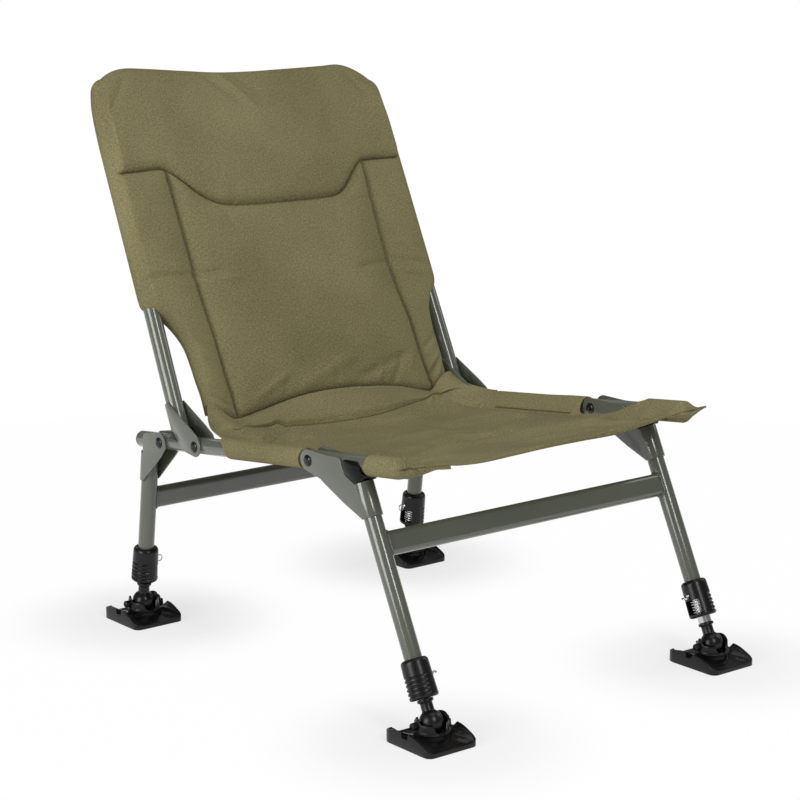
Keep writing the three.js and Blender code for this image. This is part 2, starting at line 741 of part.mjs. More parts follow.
// Back cushion: headrest roll, side and centre channels, sleeves round the hoop
function backPad() {
  const rows = [46, 56, 80, 112, 148, 170, 200, 240, 280, 308, 326, 346, 370, 400, 436, 466, 490, 506, 517, 523];
  const half = (t) => {
    if (t < 150) return 189 + 2 * (1 - t / 150);
    if (t < 202) return 190 + 54 * Math.sin(((t - 150) / 52) * (Math.PI / 2)) ** 0.9;
    if (t < 480) return 244;
    const q = Math.min(1, (t - 480) / 44);
    return 202 + 42 * Math.sqrt(1 - q * q);
  };
  const nu = 18;
  const bump = (d, w) => Math.exp(-((d / w) ** 2));
  const front = (x, t, h) => {
    const edge = Math.min(1, (h - Math.abs(x)) / 26);
    const end = Math.min(1, (t - 44) / 30, (525 - t) / 22);
    const crown = Math.sqrt(Math.max(0, edge * (2 - edge))) * Math.sqrt(Math.max(0, end * (2 - end)));
    const seamT = 326 + 44 * Math.min(1, Math.max(0, (Math.abs(x) - 100) / 55));
    const seams = 4.2 * bump(t - seamT, 9) + (t < seamT ? 4 * bump(Math.abs(x) - 161, 9) : 0);
    const full = t > seamT ? 3 : 1.5;
    return 13.4 + crown * full - seams * Math.min(1, edge * 1.5) - (t < 60 ? 6 : 0);
  };
  const point = (side) => (i, j) => {
    const t = rows[j];
    const h = half(t);
    const x = ((i / nu) * 2 - 1) * h;
    const roll = 2.8 * bump(t - 512, 26);
    const o = side > 0 ? front(x, t, h) : -13.4 - roll + (t < 150 ? 5 : 0);
    const [y, z] = BACK.at(-o, t);
    return [x, y, z];
  };
  let body = sheet(nu, rows.length - 1, point(1), point(-1));
  body = body.subtract(hoop(100, TUBE_R + CLEAR));
  add('back_pad', geometryOf(body), CLOTH());
}

seatRails();
rivets();
legBrackets();
backBrackets();
saddles();
crossbar('front_crossbar', FRONT, FRONT_BAR_S);
crossbar('rear_crossbar', REAR, REAR_BAR_S);
for (const [side, mirror] of [['r', false], ['l', true]]) {
  leg(`front_${side}`, FRONT, FRONT_TUBE_TOP, FRONT_TRAVEL, mirror);
  leg(`rear_${side}`, REAR, REAR_TUBE_TOP, REAR_TRAVEL, mirror);
  footPad(`front_${side}`, 0, mirror);
  footPad(`rear_${side}`, WHEELBASE, mirror);
}
backFrame();
seatCloth();
backPad();

export default group;
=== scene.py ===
import math

import bmesh
import bpy
from mathutils import Matrix, Vector


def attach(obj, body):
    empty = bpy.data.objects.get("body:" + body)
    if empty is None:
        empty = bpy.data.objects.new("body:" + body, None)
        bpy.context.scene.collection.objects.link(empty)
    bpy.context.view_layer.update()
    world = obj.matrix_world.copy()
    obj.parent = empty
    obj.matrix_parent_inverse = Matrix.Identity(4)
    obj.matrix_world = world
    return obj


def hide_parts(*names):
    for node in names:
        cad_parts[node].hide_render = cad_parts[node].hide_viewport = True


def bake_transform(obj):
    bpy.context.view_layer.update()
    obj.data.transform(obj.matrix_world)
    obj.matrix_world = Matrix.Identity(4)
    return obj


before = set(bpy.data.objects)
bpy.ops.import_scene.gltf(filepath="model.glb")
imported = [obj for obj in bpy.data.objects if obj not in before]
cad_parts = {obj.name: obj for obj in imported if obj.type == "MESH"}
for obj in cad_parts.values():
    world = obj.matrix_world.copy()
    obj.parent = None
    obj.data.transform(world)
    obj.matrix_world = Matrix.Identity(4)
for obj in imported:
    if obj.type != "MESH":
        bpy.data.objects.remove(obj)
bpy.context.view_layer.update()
scene = bpy.context.scene

# Sizes in millimetres, as in the solids
MM = 0.001
SIDE_X = 235.0
TUBE_R = 11.0
TUBE_WALL = 1.8
Y_SHIFT = -348.2
BALL_Z = 26.5
WHEELBASE = 619.2
FRONT_PIVOT = (221.0, 301.0)
BACK_PIVOT = (468.0, 272.0)
REAR_PIVOT = (551.0, 262.3)
RAIL_REAR = 610.0
RAIL_FRONT = 62.0
COLLAR_BOTTOM = {"front_l": 28.0, "front_r": 36.0, "rear_l": 31.0, "rear_r": 31.0}
BACK_TOP = 507.5
BACK_HALF_TOP = 226.5
BACK_BEND = 52.0
SLEEVE_R = 13.2
BALL_R = 15.0
COLLAR_R = 18.0
PIN_UP = 30.0  # a pull pin over the collar's lower end
COVER = 12.2  # the cushion's cover over the plane of the hoop
EDGE_R = 13.4  # round the top of the cushion
PANEL_HALF = 200  # half the width of the seat panel between the sleeves
CREASE_N = -10.5  # where the seat cloth goes behind the cushion


def rail_z(y):
    return 256.0 + 0.1175 * (605.0 - y)


class Line:
    """A tube's own frame: x across the chair, n across the tube, s along it."""

    def __init__(self, y0, z0, dy, dz):
        length = math.hypot(dy, dz)
        self.y0, self.z0 = y0, z0
        self.dy, self.dz = dy / length, dz / length

    def at(self, n, s):
        return (self.y0 + n * self.dz + s * self.dy, self.z0 - n * self.dy + s * self.dz)

    def point(self, x, n, s):
        y, z = self.at(n, s)
        return Vector((x, y, z))

    def of(self, y, z):
        y, z = y - self.y0, z - self.z0
        return (y * self.dz - z * self.dy, y * self.dy + z * self.dz)

    def matrix(self, x=SIDE_X):
        """Places a shape made along +Z, in millimetres, on the line."""
        return Matrix(
            (
                (1, 0, 0, x),
                (0, self.dz, self.dy, self.y0),
                (0, -self.dy, self.dz, self.z0),
                (0, 0, 0, 1),
            )
        )


FRONT = Line(0.0, BALL_Z, 0.49, 1.0)
REAR = Line(WHEELBASE, BALL_Z, -0.13, 1.0)
RAIL = Line(RAIL_REAR, rail_z(RAIL_REAR), -1.0, 0.1175)
RAIL_LEN = (RAIL_REAR - RAIL_FRONT) * math.hypot(1.0, 0.1175)
HOOP = Line(523.4, 300.0, 0.466, 1.0)
BACK = Line(*HOOP.at(0, HOOP.of(*BACK_PIVOT)[1]), HOOP.dy, HOOP.dz)  # the same, from beside its pivot
SIDES = (("r", False), ("l", True))  # each side's letter, and whether it is made as a mirror image


def chair(p):
    """A point of the drawing, in millimetres, as a place on the chair, in metres."""
    return (p[0] * MM, (p[1] + Y_SHIFT) * MM, p[2] * MM)


def flow(points):
    """A smooth curve through (place, value) pairs, flat beyond its ends."""

    def value(x):
        if x <= points[0][0]:
            return points[0][1]
        if x >= points[-1][0]:
            return points[-1][1]
        for i in range(len(points) - 1):
            x0, y0 = points[i]
            x1, y1 = points[i + 1]
            if x <= x1:
                before = points[max(0, i - 1)]
                after = points[min(len(points) - 1, i + 2)]
                m0 = (y1 - before[1]) / (x1 - before[0]) * (x1 - x0)
                m1 = (after[1] - y0) / (after[0] - x0) * (x1 - x0)
                t = (x - x0) / (x1 - x0)
                a = 2 * t**3 - 3 * t**2 + 1
                b = t**3 - 2 * t**2 + t
                c = -2 * t**3 + 3 * t**2
                d = t**3 - t**2
                return a * y0 + b * m0 + c * y1 + d * m1
        return points[-1][1]

    return value


def ease(t):
    t = min(1.0, max(0.0, t))
    return t * t * (3 - 2 * t)


def lerp(a, b, t):
    return a + (b - a) * t


def bump(d, width):
    return math.exp(-((d / width) ** 2))


def creased(x, y, folds, wide=0.75, high=1.6):
    """Height of soft creases, each a ridge or hollow along a short line."""
    total = 0.0
    for x0, y0, x1, y1, width, height in folds:
        dx, dy = x1 - x0, y1 - y0
        length = math.hypot(dx, dy)
        along = ((x - x0) * dx + (y - y0) * dy) / length
        across = ((x - x0) * dy - (y - y0) * dx) / length
        if -10 < along < length + 10:
            ends = ease((along + 10) / 22) * ease((length + 10 - along) / 22)
            total += high * height * ends * bump(across, width * wide)
    return total


# ---- making and finishing pieces


def circle(seg):
    """Cosine and sine of even steps round a circle."""
    angles = [2 * math.pi * k / seg for k in range(seg)]
    return [(math.cos(a), math.sin(a)) for a in angles]


def quads(rows, seg, base=0, ring=True, loop=False):
    """Faces between rows of points. Each row is a ring or open; a loop joins the last row to the first."""
    out = []
    for i in range(rows if loop else rows - 1):
        a, b = base + i * seg, base + (i + 1) % rows * seg
        for k in range(seg if ring else seg - 1):
            m = (k + 1) % seg
            out.append((a + k, a + m, b + m, b + k))
    return out


def setup(thing, **settings):
    for title, value in settings.items():
        setattr(thing, title, value)
    return thing


def edit(mesh, change):
    """Makes a change to the mesh as a bmesh."""
    bm = bmesh.new()
    bm.from_mesh(mesh)
    change(bm)
    bm.to_mesh(mesh)
    bm.free()


def outward(mesh):
    """Merges doubles and turns every face outwards."""

    def change(bm):
        bmesh.ops.remove_doubles(bm, verts=bm.verts, dist=1e-6)
        bmesh.ops.dissolve_degenerate(bm, edges=bm.edges, dist=1e-7)
        bmesh.ops.recalc_face_normals(bm, faces=bm.faces)

    edit(mesh, change)


def drop_loose(mesh):
    """Takes out points that no face uses."""

    def change(bm):
        bmesh.ops.delete(bm, geom=[v for v in bm.verts if not v.link_faces], context="VERTS")

    edit(mesh, change)


def smoothed(mesh, sharp=38.0):
    """Smooth shading, except at edges sharper than an angle."""
    mesh.shade_smooth()
    mesh.set_sharp_from_angle(angle=math.radians(sharp))


def placed(name, mesh):
    obj = bpy.data.objects.new(name, mesh)
    scene.collection.objects.link(obj)
    return obj


def make(name, verts, faces, finish, sharp=38.0, mirror=False, merged=True):
    """A mesh object from millimetre points."""
    points = [chair(p) for p in verts]
    if mirror:
        points = [(-x, y, z) for x, y, z in points]
        faces = [tuple(reversed(f)) for f in faces]
    mesh = bpy.data.meshes.new(name)
    mesh.from_pydata(points, [], faces)
    mesh.materials.append(finish)
    if merged:
        outward(mesh)
    smoothed(mesh, sharp)
    return placed(name, mesh)


def settle(obj, sharp=38.0):
    """Turns the live modifiers into the mesh itself."""
    depsgraph = bpy.context.evaluated_depsgraph_get()
    mesh = bpy.data.meshes.new_from_object(obj.evaluated_get(depsgraph))
    obj.modifiers.clear()
    obj.data = mesh
    smoothed(mesh, sharp)
    return obj


def soften_edges(obj, width, segments=2, angle=35.0):
    setup(obj.modifiers.new("bevel", "BEVEL"), width=width * MM, segments=segments,
          limit_method="ANGLE", angle_limit=math.radians(angle), harden_normals=False)


def thicken(obj, thickness, offset=0.0):
    """Gives a sheet its thickness; a wall on one side keeps it plain at the corners."""
    setup(obj.modifiers.new("wall", "SOLIDIFY"), thickness=thickness * MM, offset=offset,
          use_even_offset=offset == 0.0)


def fitted(obj, body, slot, *nodes):
    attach(obj, body)
    if nodes:
        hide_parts(*nodes)


def rounded(profile, steps=3):
    """Rounds the corners of a (radius, s) outline; a third number is a corner's fillet."""
    out = []
    count = len(profile)
    for i, p in enumerate(profile):
        r = p[2] if len(p) > 2 else 0.0
        if r <= 0:
            out.append((p[0], p[1]))
            continue
        here = Vector(p[:2])
        a = Vector(profile[(i - 1) % count][:2]) - here
        b = Vector(profile[(i + 1) % count][:2]) - here
        cut = min(r, a.length * 0.49, b.length * 0.49)
        start, end = here + a.normalized() * cut, here + b.normalized() * cut
        for k in range(steps + 1):
            t = k / steps
            q = start * (1 - t) ** 2 + here * (2 * t * (1 - t)) + end * t * t
            out.append((q.x, q.y))
    return out


def turned(name, line, profile, finish, mirror=False, closed=True):
    """A (radius, s) profile spun round a line. A closed one makes a ring wall, an open one starts
    and ends on the line."""
    seg = 48
    verts = [line.point(SIDE_X + r * c, r * n, s) for r, s in profile for c, n in circle(seg)]
    return make(name, verts, quads(len(profile), seg, loop=closed), finish, mirror=mirror)


def pipe(name, line, s0, s1, radius, wall, finish, mirror=False, lip=0.5):
    bore = radius - wall
    ends = [(bore, s0, lip * 0.6), (radius, s0, lip), (radius, s1, lip), (bore, s1, lip * 0.6)]
    return turned(name, line, rounded(ends), finish, mirror)


# ---- shared effects


def blank(owner):
    """The empty node tree of a new material or world."""
    owner.use_nodes = True
    owner.node_tree.nodes.clear()
    return owner.node_tree


def add(tree, kind, inputs=None, **settings):
    """A node. Each input takes a value, or a link where another socket is given."""
    node = setup(tree.nodes.new(kind), **settings)
    for title, value in (inputs or {}).items():
        if isinstance(value, bpy.types.NodeSocket):
            tree.links.new(value, node.inputs[title])
        else:
            node.inputs[title].default_value = value
    return node


def number_inputs(tree, numbers):
    for title, default in numbers.items():
        socket = tree.interface.new_socket(title, in_out="INPUT", socket_type="NodeSocketFloat")
        socket.default_value = default


def group_of(name, numbers, results):
    """A shader group with a Vector and some numbers going in and values coming out."""
    tree = bpy.data.node_groups.new(name, "ShaderNodeTree")
    tree.interface.new_socket("Vector", in_out="INPUT", socket_type="NodeSocketVector")
    number_inputs(tree, numbers)
    for title in results:
        tree.interface.new_socket(title, in_out="OUTPUT", socket_type="NodeSocketFloat")
    return tree, add(tree, "NodeGroupInput").outputs


def math_node(tree, operation, a, b, clamp=False):
    return add(tree, "ShaderNodeMath", {0: a, 1: b}, operation=operation, use_clamp=clamp).outputs[0]


def noise_node(tree, vector, scale, detail=3.0, rough=0.55):
    inputs = {"Scale": scale, "Detail": detail, "Roughness": rough, "Vector": vector}
    return add(tree, "ShaderNodeTexNoise", inputs).outputs[0]


def map_range(tree, source, start, stop, low, high, kind="LINEAR"):
    inputs = {"From Min": start, "From Max": stop, "To Min": low, "To Max": high, "Value": source}
    return add(tree, "ShaderNodeMapRange", inputs, interpolation_type=kind).outputs[0]


def weave_group():
    """Plain oxford weave: crossing threads with slubs, from a flat map in metres."""
    tree, entry = group_of("oxford_weave", {"Thread pitch": 0.0009, "Slub": 0.5}, ("Height", "Tone"))
    flat = entry["Vector"]
    split = add(tree, "ShaderNodeSeparateXYZ", {0: flat})
    turns = math_node(tree, "DIVIDE", math.pi, entry["Thread pitch"])
    threads = []
    for axis in (0, 1):
        across = math_node(tree, "MULTIPLY", split.outputs[axis], turns)
        threads.append(math_node(tree, "SINE", across, 0.0))
    cross = math_node(tree, "MULTIPLY", *threads)
    slubs = []
    for scale in ((1.0, 0.25, 1.0), (0.25, 1.0, 1.0)):
        stretch = add(tree, "ShaderNodeMapping", {"Scale": scale, "Vector": flat})
        slubs.append(noise_node(tree, stretch.outputs[0], 900.0, 2.0))
    both = math_node(tree, "SUBTRACT", math_node(tree, "ADD", *slubs), 1.0)
    uneven = math_node(tree, "MULTIPLY", both, entry["Slub"])
    half = math_node(tree, "MULTIPLY", cross, 0.25)
    height = math_node(tree, "ADD", math_node(tree, "ADD", half, uneven), 0.5)
    tone = math_node(tree, "ADD", noise_node(tree, flat, 430.0, 3.0, 0.75), uneven)
    tone = math_node(tree, "ADD", tone, math_node(tree, "MULTIPLY", cross, 0.06))
    add(tree, "NodeGroupOutput", {"Height": height, "Tone": tone})
    return tree


def wear_group():
    """Fine grain and patchy handling marks over a hard surface."""
    numbers = {"Grain scale": 400.0, "Patch scale": 9.0}
    tree, entry = group_of("surface_grain", numbers, ("Height", "Patch", "Scuff"))
    fine = noise_node(tree, entry["Vector"], entry["Grain scale"], 4.0)
    patch = noise_node(tree, entry["Vector"], entry["Patch scale"], 5.0, 0.6)
    scuff = noise_node(tree, entry["Vector"], 130.0, 6.0, 0.75)
    marks = math_node(tree, "MULTIPLY", math_node(tree, "SUBTRACT", scuff, 0.58), 6.0, clamp=True)
    places = math_node(tree, "MULTIPLY", math_node(tree, "SUBTRACT", patch, 0.45), 3.0, clamp=True)
    scuffs = math_node(tree, "MULTIPLY", marks, places)
    add(tree, "NodeGroupOutput", {"Height": fine, "Patch": patch, "Scuff": scuffs})
    return tree


WEAVE = weave_group()
GRAIN = wear_group()


def material_of(name):
    material = bpy.data.materials.new(name)
    return material, blank(material)


def surface(tree, inputs):
    shader = add(tree, "ShaderNodeBsdfPrincipled", inputs)
    add(tree, "ShaderNodeOutputMaterial", {0: shader.outputs[0]})


def ramp(tree, source, stops):
    node = add(tree, "ShaderNodeValToRGB", {0: source})
    elements = node.color_ramp.elements
    while len(elements) < len(stops):
        elements.new(0.5)
    for element, (place, color) in zip(elements, stops):
        setup(element, position=place, color=(*color, 1.0))
    return node.outputs[0]


def relief(tree, height, strength, distance):
    inputs = {"Strength": strength, "Distance": distance, "Height": height}
    return add(tree, "ShaderNodeBump", inputs).outputs[0]


def cloth_material(name, dark, mid, light):
    material, tree = material_of(name)
    flat = add(tree, "ShaderNodeUVMap", uv_map="flat").outputs[0]
    inputs = {"Vector": flat, "Thread pitch": 0.0011, "Slub": 0.35}
    weave = add(tree, "ShaderNodeGroup", inputs, node_tree=WEAVE).outputs
    patches = math_node(tree, "SUBTRACT", noise_node(tree, flat, 7.0, 4.0), 0.5)
    tone = math_node(tree, "ADD", weave["Tone"], math_node(tree, "MULTIPLY", patches, 0.35))
    surface(tree, {
        "Base Color": ramp(tree, tone, [(0.27, dark), (0.5, mid), (0.75, light)]),
        "Roughness": map_range(tree, weave["Height"], 0.25, 0.75, 0.82, 0.96),
        "Specular IOR Level": 0.07,
        "Sheen Weight": 0.01,
        "Sheen Roughness": 0.5,
        "Normal": relief(tree, weave["Height"], 0.35, 0.0005),
    })
    return material


def hard_material(name, dark, light, rough, metallic=0.0, grain=500.0, strength=0.05, coat=0.0,
                  scuffed=None, specular=0.5):
    material, tree = material_of(name)
    place = add(tree, "ShaderNodeTexCoord").outputs["Object"]
    marks = add(tree, "ShaderNodeGroup", {"Vector": place, "Grain scale": grain}, node_tree=GRAIN).outputs
    color = ramp(tree, marks["Patch"], [(0.3, dark), (0.7, light)])
    if scuffed:
        share = math_node(tree, "MULTIPLY", marks["Scuff"], 0.5)
        mix = add(tree, "ShaderNodeMix", {0: share, 6: color, 7: (*scuffed, 1.0)}, data_type="RGBA")
        color = mix.outputs[2]
    surface(tree, {
        "Base Color": color,
        "Roughness": map_range(tree, marks["Patch"], 0.25, 0.75, *rough),
        "Metallic": metallic,
        "Coat Weight": coat,
        "Coat Roughness": 0.12,
        "Specular IOR Level": specular,
        "Normal": relief(tree, marks["Height"], strength, 0.0004),
    })
    return material


OLIVE = cloth_material(
    "olive_oxford_cloth", (0.122, 0.105, 0.051), (0.212, 0.187, 0.095), (0.308, 0.275, 0.146)
)
FRAME = hard_material(
    "grey_green_frame_paint", (0.094, 0.103, 0.079), (0.108, 0.117, 0.090), (0.18, 0.28),
    grain=260.0, strength=0.05, coat=0.5, scuffed=(0.13, 0.14, 0.11),
)
WELD = hard_material(
    "painted_weld_bead", (0.095, 0.105, 0.080), (0.118, 0.128, 0.098), (0.22, 0.36),
    grain=900.0, strength=0.35, coat=0.3,
)
PLASTIC = hard_material(
    "black_moulded_plastic", (0.0040, 0.0040, 0.0044), (0.0070, 0.0070, 0.0075), (0.22, 0.36),
    grain=900.0, strength=0.06, scuffed=(0.016, 0.016, 0.016), specular=0.3,
)
SADDLE = hard_material(
    "black_saddle_plastic", (0.0030, 0.0030, 0.0034), (0.0045, 0.0045, 0.005), (0.05, 0.10),
    grain=500.0, strength=0.10, specular=0.16,
)
PLATED = hard_material(
    "plated_leg_steel", (0.56, 0.57, 0.58), (0.66, 0.67, 0.68), (0.16, 0.28),
    metallic=1.0, grain=700.0, strength=0.03,
)
RIVET = hard_material(
    "blackened_rivet_steel", (0.006, 0.006, 0.0065), (0.009, 0.009, 0.0095), (0.12, 0.18),
    grain=300.0, strength=0.0, specular=0.35,
)


# ---- rails, caps and rivets


def seat_rails():
    dome = rounded([(0.0, -5.4), (4.8, -5.2, 1.0), (8.6, -3.8, 1.6), (10.6, -1.8, 1.4), (11.0, -0.3, 0.2),
                    (8.9, -0.3), (8.9, 10.0, 0.5), (0.0, 10.0)])
    end = RAIL_LEN
    nose = rounded([(0.0, end - 10), (8.9, end - 10, 0.5), (8.9, end + 0.3), (10.8, end + 0.3, 0.2),
                    (10.8, end + 1.6, 0.6), (9.4, end + 2.4, 0.6), (0.0, end + 2.4)])
    for side, mirror in SIDES:
        rail = pipe(f"rail_tube_{side}", RAIL, 0, RAIL_LEN, TUBE_R, TUBE_WALL, FRAME, mirror, 0.6)
        fitted(rail, "seat_frame", "frame_paint", f"seat_rail_{side}")
        cap = turned(f"rail_plug_rear_{side}", RAIL, dome, FRAME, mirror, closed=False)
        fitted(cap, "seat_frame", "frame_paint", f"rail_cap_rear_{side}")
        plug = turned(f"rail_plug_front_{side}", RAIL, nose, PLASTIC, mirror, closed=False)
        fitted(plug, "seat_frame", "black_plastic", f"rail_cap_front_{side}")


def pivot_rivets():
    """Domed black heads with a small centre dimple, one rivet through each pivot."""
    reach = 13.6
    half = [(0.0, 1.7), (1.1, 1.75), (1.9, 2.5, 0.3), (3.6, 2.45, 0.5), (6.0, 1.6, 0.8), (7.4, 0.35, 0.3),
            (7.4, 0.0, 0.1), (4.0, 0.0)]
    profile = [(p[0], reach + p[1], *p[2:]) for p in half]
    profile = rounded(profile + [(p[0], -reach - p[1], *p[2:]) for p in reversed(half)])
    seg = 32
    faces = quads(len(profile), seg)
    for side, mirror in SIDES:
        for name, (y, z) in (("front_leg", FRONT_PIVOT), ("back", BACK_PIVOT), ("rear_leg", REAR_PIVOT)):
            verts = [(SIDE_X + x, y + r * c, z + r * s) for r, x in profile for c, s in circle(seg)]
            rivet = make(f"{name}_rivet_head_{side}", verts, faces, RIVET, 50.0, mirror)
            fitted(rivet, "seat_frame", "rivet_steel", f"{name}_rivet_{side}")


# ---- folded brackets and saddles


def arc(cy, cz, r, a0, a1, steps):
    angles = [math.radians(a0 + (a1 - a0) * i / steps) for i in range(steps + 1)]
    return [(cy + r * math.cos(a), cz + r * math.sin(a)) for a in angles]


def folded_plate(name, line, outline, s0, s1, bend, mirror):
    """Sheet bent round a tube: two flat cheeks joined by a half-round bend.
    The outline starts and ends on the bend line, at s0 and s1."""
    half = 12.3
    verts = [Vector((SIDE_X + x, y, z)) for x in (half, -half) for y, z in outline]
    count = len(outline)
    faces = [tuple(range(count)), tuple(reversed(range(count, 2 * count)))]
    rows = [(0, count - 1)]
    steps = 16
    for k in range(1, steps):
        a = math.pi * k / steps
        for s in (s0, s1):
            verts.append(line.point(SIDE_X + half * math.cos(a), bend * half * math.sin(a), s))
        rows.append((len(verts) - 2, len(verts) - 1))
    rows.append((count, 2 * count - 1))
    faces += [(a[0], a[1], b[1], b[0]) for a, b in zip(rows, rows[1:])]
    obj = make(name, verts, faces, FRAME, mirror=mirror)
    thicken(obj, 2.0)
    soften_edges(obj, 0.55, 3, 40.0)
    return settle(obj, 32.0)


def leg_brackets():
    front = [FRONT.at(0, 250), FRONT.at(4, 250), (121.5, 252.3), (148.7, 262.1), (187.5, 278.7), (196, 283),
             (221, 287.6), (229, 289.6)]
    front += arc(221.5, 301, 14.2, -38, 90, 16)
    front += [(181.5, 315), (163.5, 316.6), (160.5, 316.2), (157.3, 314), (155.5, 311), (151.5, 303),
              (147, 297), FRONT.at(0, 293)]
    rear = [REAR.at(0, 177), REAR.at(0, 216), (591, 246), (590, 264), (588.6, 267), (586, 269), (549, 276.8)]
    rear += arc(551, 262.3, 14.6, 98, 195, 14)
    rear += [(540, 254), (548.8, 243.3), REAR.at(-3, 177)]
    rear = [rear[0]] + rear[-1:0:-1]
    for side, mirror in SIDES:
        plate = folded_plate(f"front_leg_hinge_plate_{side}", FRONT, front, 250, 293, -1, mirror)
        fitted(plate, "front_legs", "frame_paint", f"front_leg_bracket_{side}")
        plate = folded_plate(f"rear_leg_hinge_plate_{side}", REAR, rear, 177, 216, 1, mirror)
        fitted(plate, "rear_legs", "frame_paint", f"rear_leg_bracket_{side}")


def back_brackets():
    outline = [BACK.at(0, 69.5), BACK.at(-3.5, 69.5), (477.5, 295.2), (462, 286.5)]
    outline += arc(468, 272, 13.4, 130, 262, 16)
    outline += [(486.8, 261.2), (496.5, 264.6), (508, 275), BACK.at(0, 32)]
    for side, mirror in SIDES:
        plate = folded_plate(f"back_hinge_plate_{side}", BACK, outline, 69.5, 32, 1, mirror)
        fitted(plate, "back", "frame_paint", f"back_bracket_{side}")


def smooth_copy(node, name, finish, bevel, sharp=35.0):
    """The solid's own shape with softened edges, from a merged copy of its mesh."""
    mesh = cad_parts[node].data.copy()
    mesh.name = name

    def merge(bm):
        bmesh.ops.remove_doubles(bm, verts=bm.verts, dist=2e-5)
        bmesh.ops.dissolve_limit(bm, angle_limit=math.radians(2.0), verts=bm.verts, edges=bm.edges)

    edit(mesh, merge)
    mesh.materials.clear()
    mesh.materials.append(finish)
    if "custom_normal" in mesh.attributes:
        mesh.attributes.remove(mesh.attributes["custom_normal"])
    obj = placed(name, mesh)
    soften_edges(obj, bevel, 2, 30.0)
    return settle(obj, sharp)


def saddles():
    for side in "lr":
        for node, body in ((f"front_leg_saddle_{side}", "front_legs"), (f"back_saddle_{side}", "back")):
            obj = smooth_copy(node, node.replace("saddle", "rest_block"), SADDLE, 0.5)
            fitted(obj, body, "black_plastic", node)


# ---- crossbars and welds


def stadium(half, tall, steps=12):
    """An oval bar's section as (n, s) points."""
    out = []
    for start, c in ((0, tall / 2 - half), (math.pi, half - tall / 2)):
        for k in range(steps + 1):
            a = start + math.pi * k / steps
            out.append((half * math.cos(a), c + half * math.sin(a)))
    return out


def crossbar(name, node, line, s, body):
    """An oval bar between the legs, its ends cut to the tubes, with a weld bead round each end."""
    half = 7.5
    ring = stadium(half, 30.0)
    count = len(ring)
    reaches = [SIDE_X - math.sqrt((TUBE_R - 0.4) ** 2 - n * n) for n, up in ring]
    stations = (-1.0, -0.96, -0.5, 0.0, 0.5, 0.96, 1.0)
    verts = [line.point(u * reach, n, s + up) for u in stations for (n, up), reach in zip(ring, reaches)]
    ends = [tuple(range(count)), tuple(reversed(range(len(verts) - count, len(verts))))]
    fitted(make(name, verts, quads(len(stations), count) + ends, FRAME), body, "frame_paint", node)
    sides = 8
    for side, sign in (("r", 1), ("l", -1)):
        path = []
        for (n, up), reach in zip(ring, reaches):
            out = Vector((0, n, up - math.copysign(max(0, abs(up) - half), up))).normalized()
            path.append(Vector((sign * (reach - 0.9), n + out.y * 0.5, up + out.z * 0.5)))
        verts = []
        for i, p in enumerate(path):
            along = (path[(i + 1) % count] - path[i - 1]).normalized()
            across = along.cross(Vector((1, 0, 0))).normalized()
            third = along.cross(across)
            lump = 1.7 + 0.22 * math.sin(i * 2.4) + 0.15 * math.sin(i * 5.1 + sign)
            for c, d in circle(sides):
                q = p + across * (lump * c) + third * (lump * d)
                verts.append(line.point(q.x, q.y, s + q.z))
        bead = make(f"{name}_weld_{side}", verts, quads(count, sides, loop=True), WELD, 60.0)
        fitted(bead, body, "frame_paint")


# ---- telescopic legs


def coil_tree():
    """A wire wound into a coil, from its radius, length, turns and wire."""
    tree = bpy.data.node_groups.new("wound_wire", "GeometryNodeTree")
    number_inputs(tree, {"Coil radius": 11.0, "Coil length": 16.0, "Turns": 5.0, "Wire radius": 0.8})
    tree.interface.new_socket("Finish", in_out="INPUT", socket_type="NodeSocketMaterial")
    tree.interface.new_socket("Geometry", in_out="OUTPUT", socket_type="NodeSocketGeometry")
    entry = add(tree, "NodeGroupInput").outputs
    radius = entry["Coil radius"]
    inputs = {"Resolution": 28, "Rotations": entry["Turns"], "Start Radius": radius, "End Radius": radius,
              "Height": entry["Coil length"]}
    spiral = add(tree, "GeometryNodeCurveSpiral", inputs)
    wire = add(tree, "GeometryNodeCurvePrimitiveCircle", {"Resolution": 8, "Radius": entry["Wire radius"]})
    inputs = {"Fill Caps": True, 0: spiral.outputs[0], 1: wire.outputs[0]}
    skin = add(tree, "GeometryNodeCurveToMesh", inputs)
    real = add(tree, "GeometryNodeRealizeInstances", {0: skin.outputs[0]})
    inputs = {"Geometry": real.outputs[0], "Material": entry["Finish"]}
    add(tree, "NodeGroupOutput", {0: add(tree, "GeometryNodeSetMaterial", inputs).outputs[0]})
    return tree


def grown(name, tree, **values):
    """Runs a geometry tree on an empty mesh and keeps the result as a plain mesh."""
    obj = placed(name, bpy.data.meshes.new(name))
    modifier = obj.modifiers.new("grow", "NODES")
    modifier.node_group = tree
    wanted = {title.replace("_", " "): value for title, value in values.items()}
    for item in tree.interface.items_tree:
        if item.item_type == "SOCKET" and item.in_out == "INPUT" and item.name in wanted:
            modifier[item.identifier] = wanted[item.name]
    return settle(obj, 180.0)


def lay_on(obj, line, s, mirror):
    """Moves a mesh made along +Z in millimetres to its line on the chair, s above its start."""
    obj.data.transform(Matrix.Translation((0, 0, s)))
    obj.data.transform(Matrix.Translation((0, Y_SHIFT * MM, 0)) @ Matrix.Scale(MM, 4) @ line.matrix())
    if mirror:
        obj.data.transform(Matrix.Diagonal((-1, 1, 1, 1)))
        obj.data.flip_normals()
    outward(obj.data)


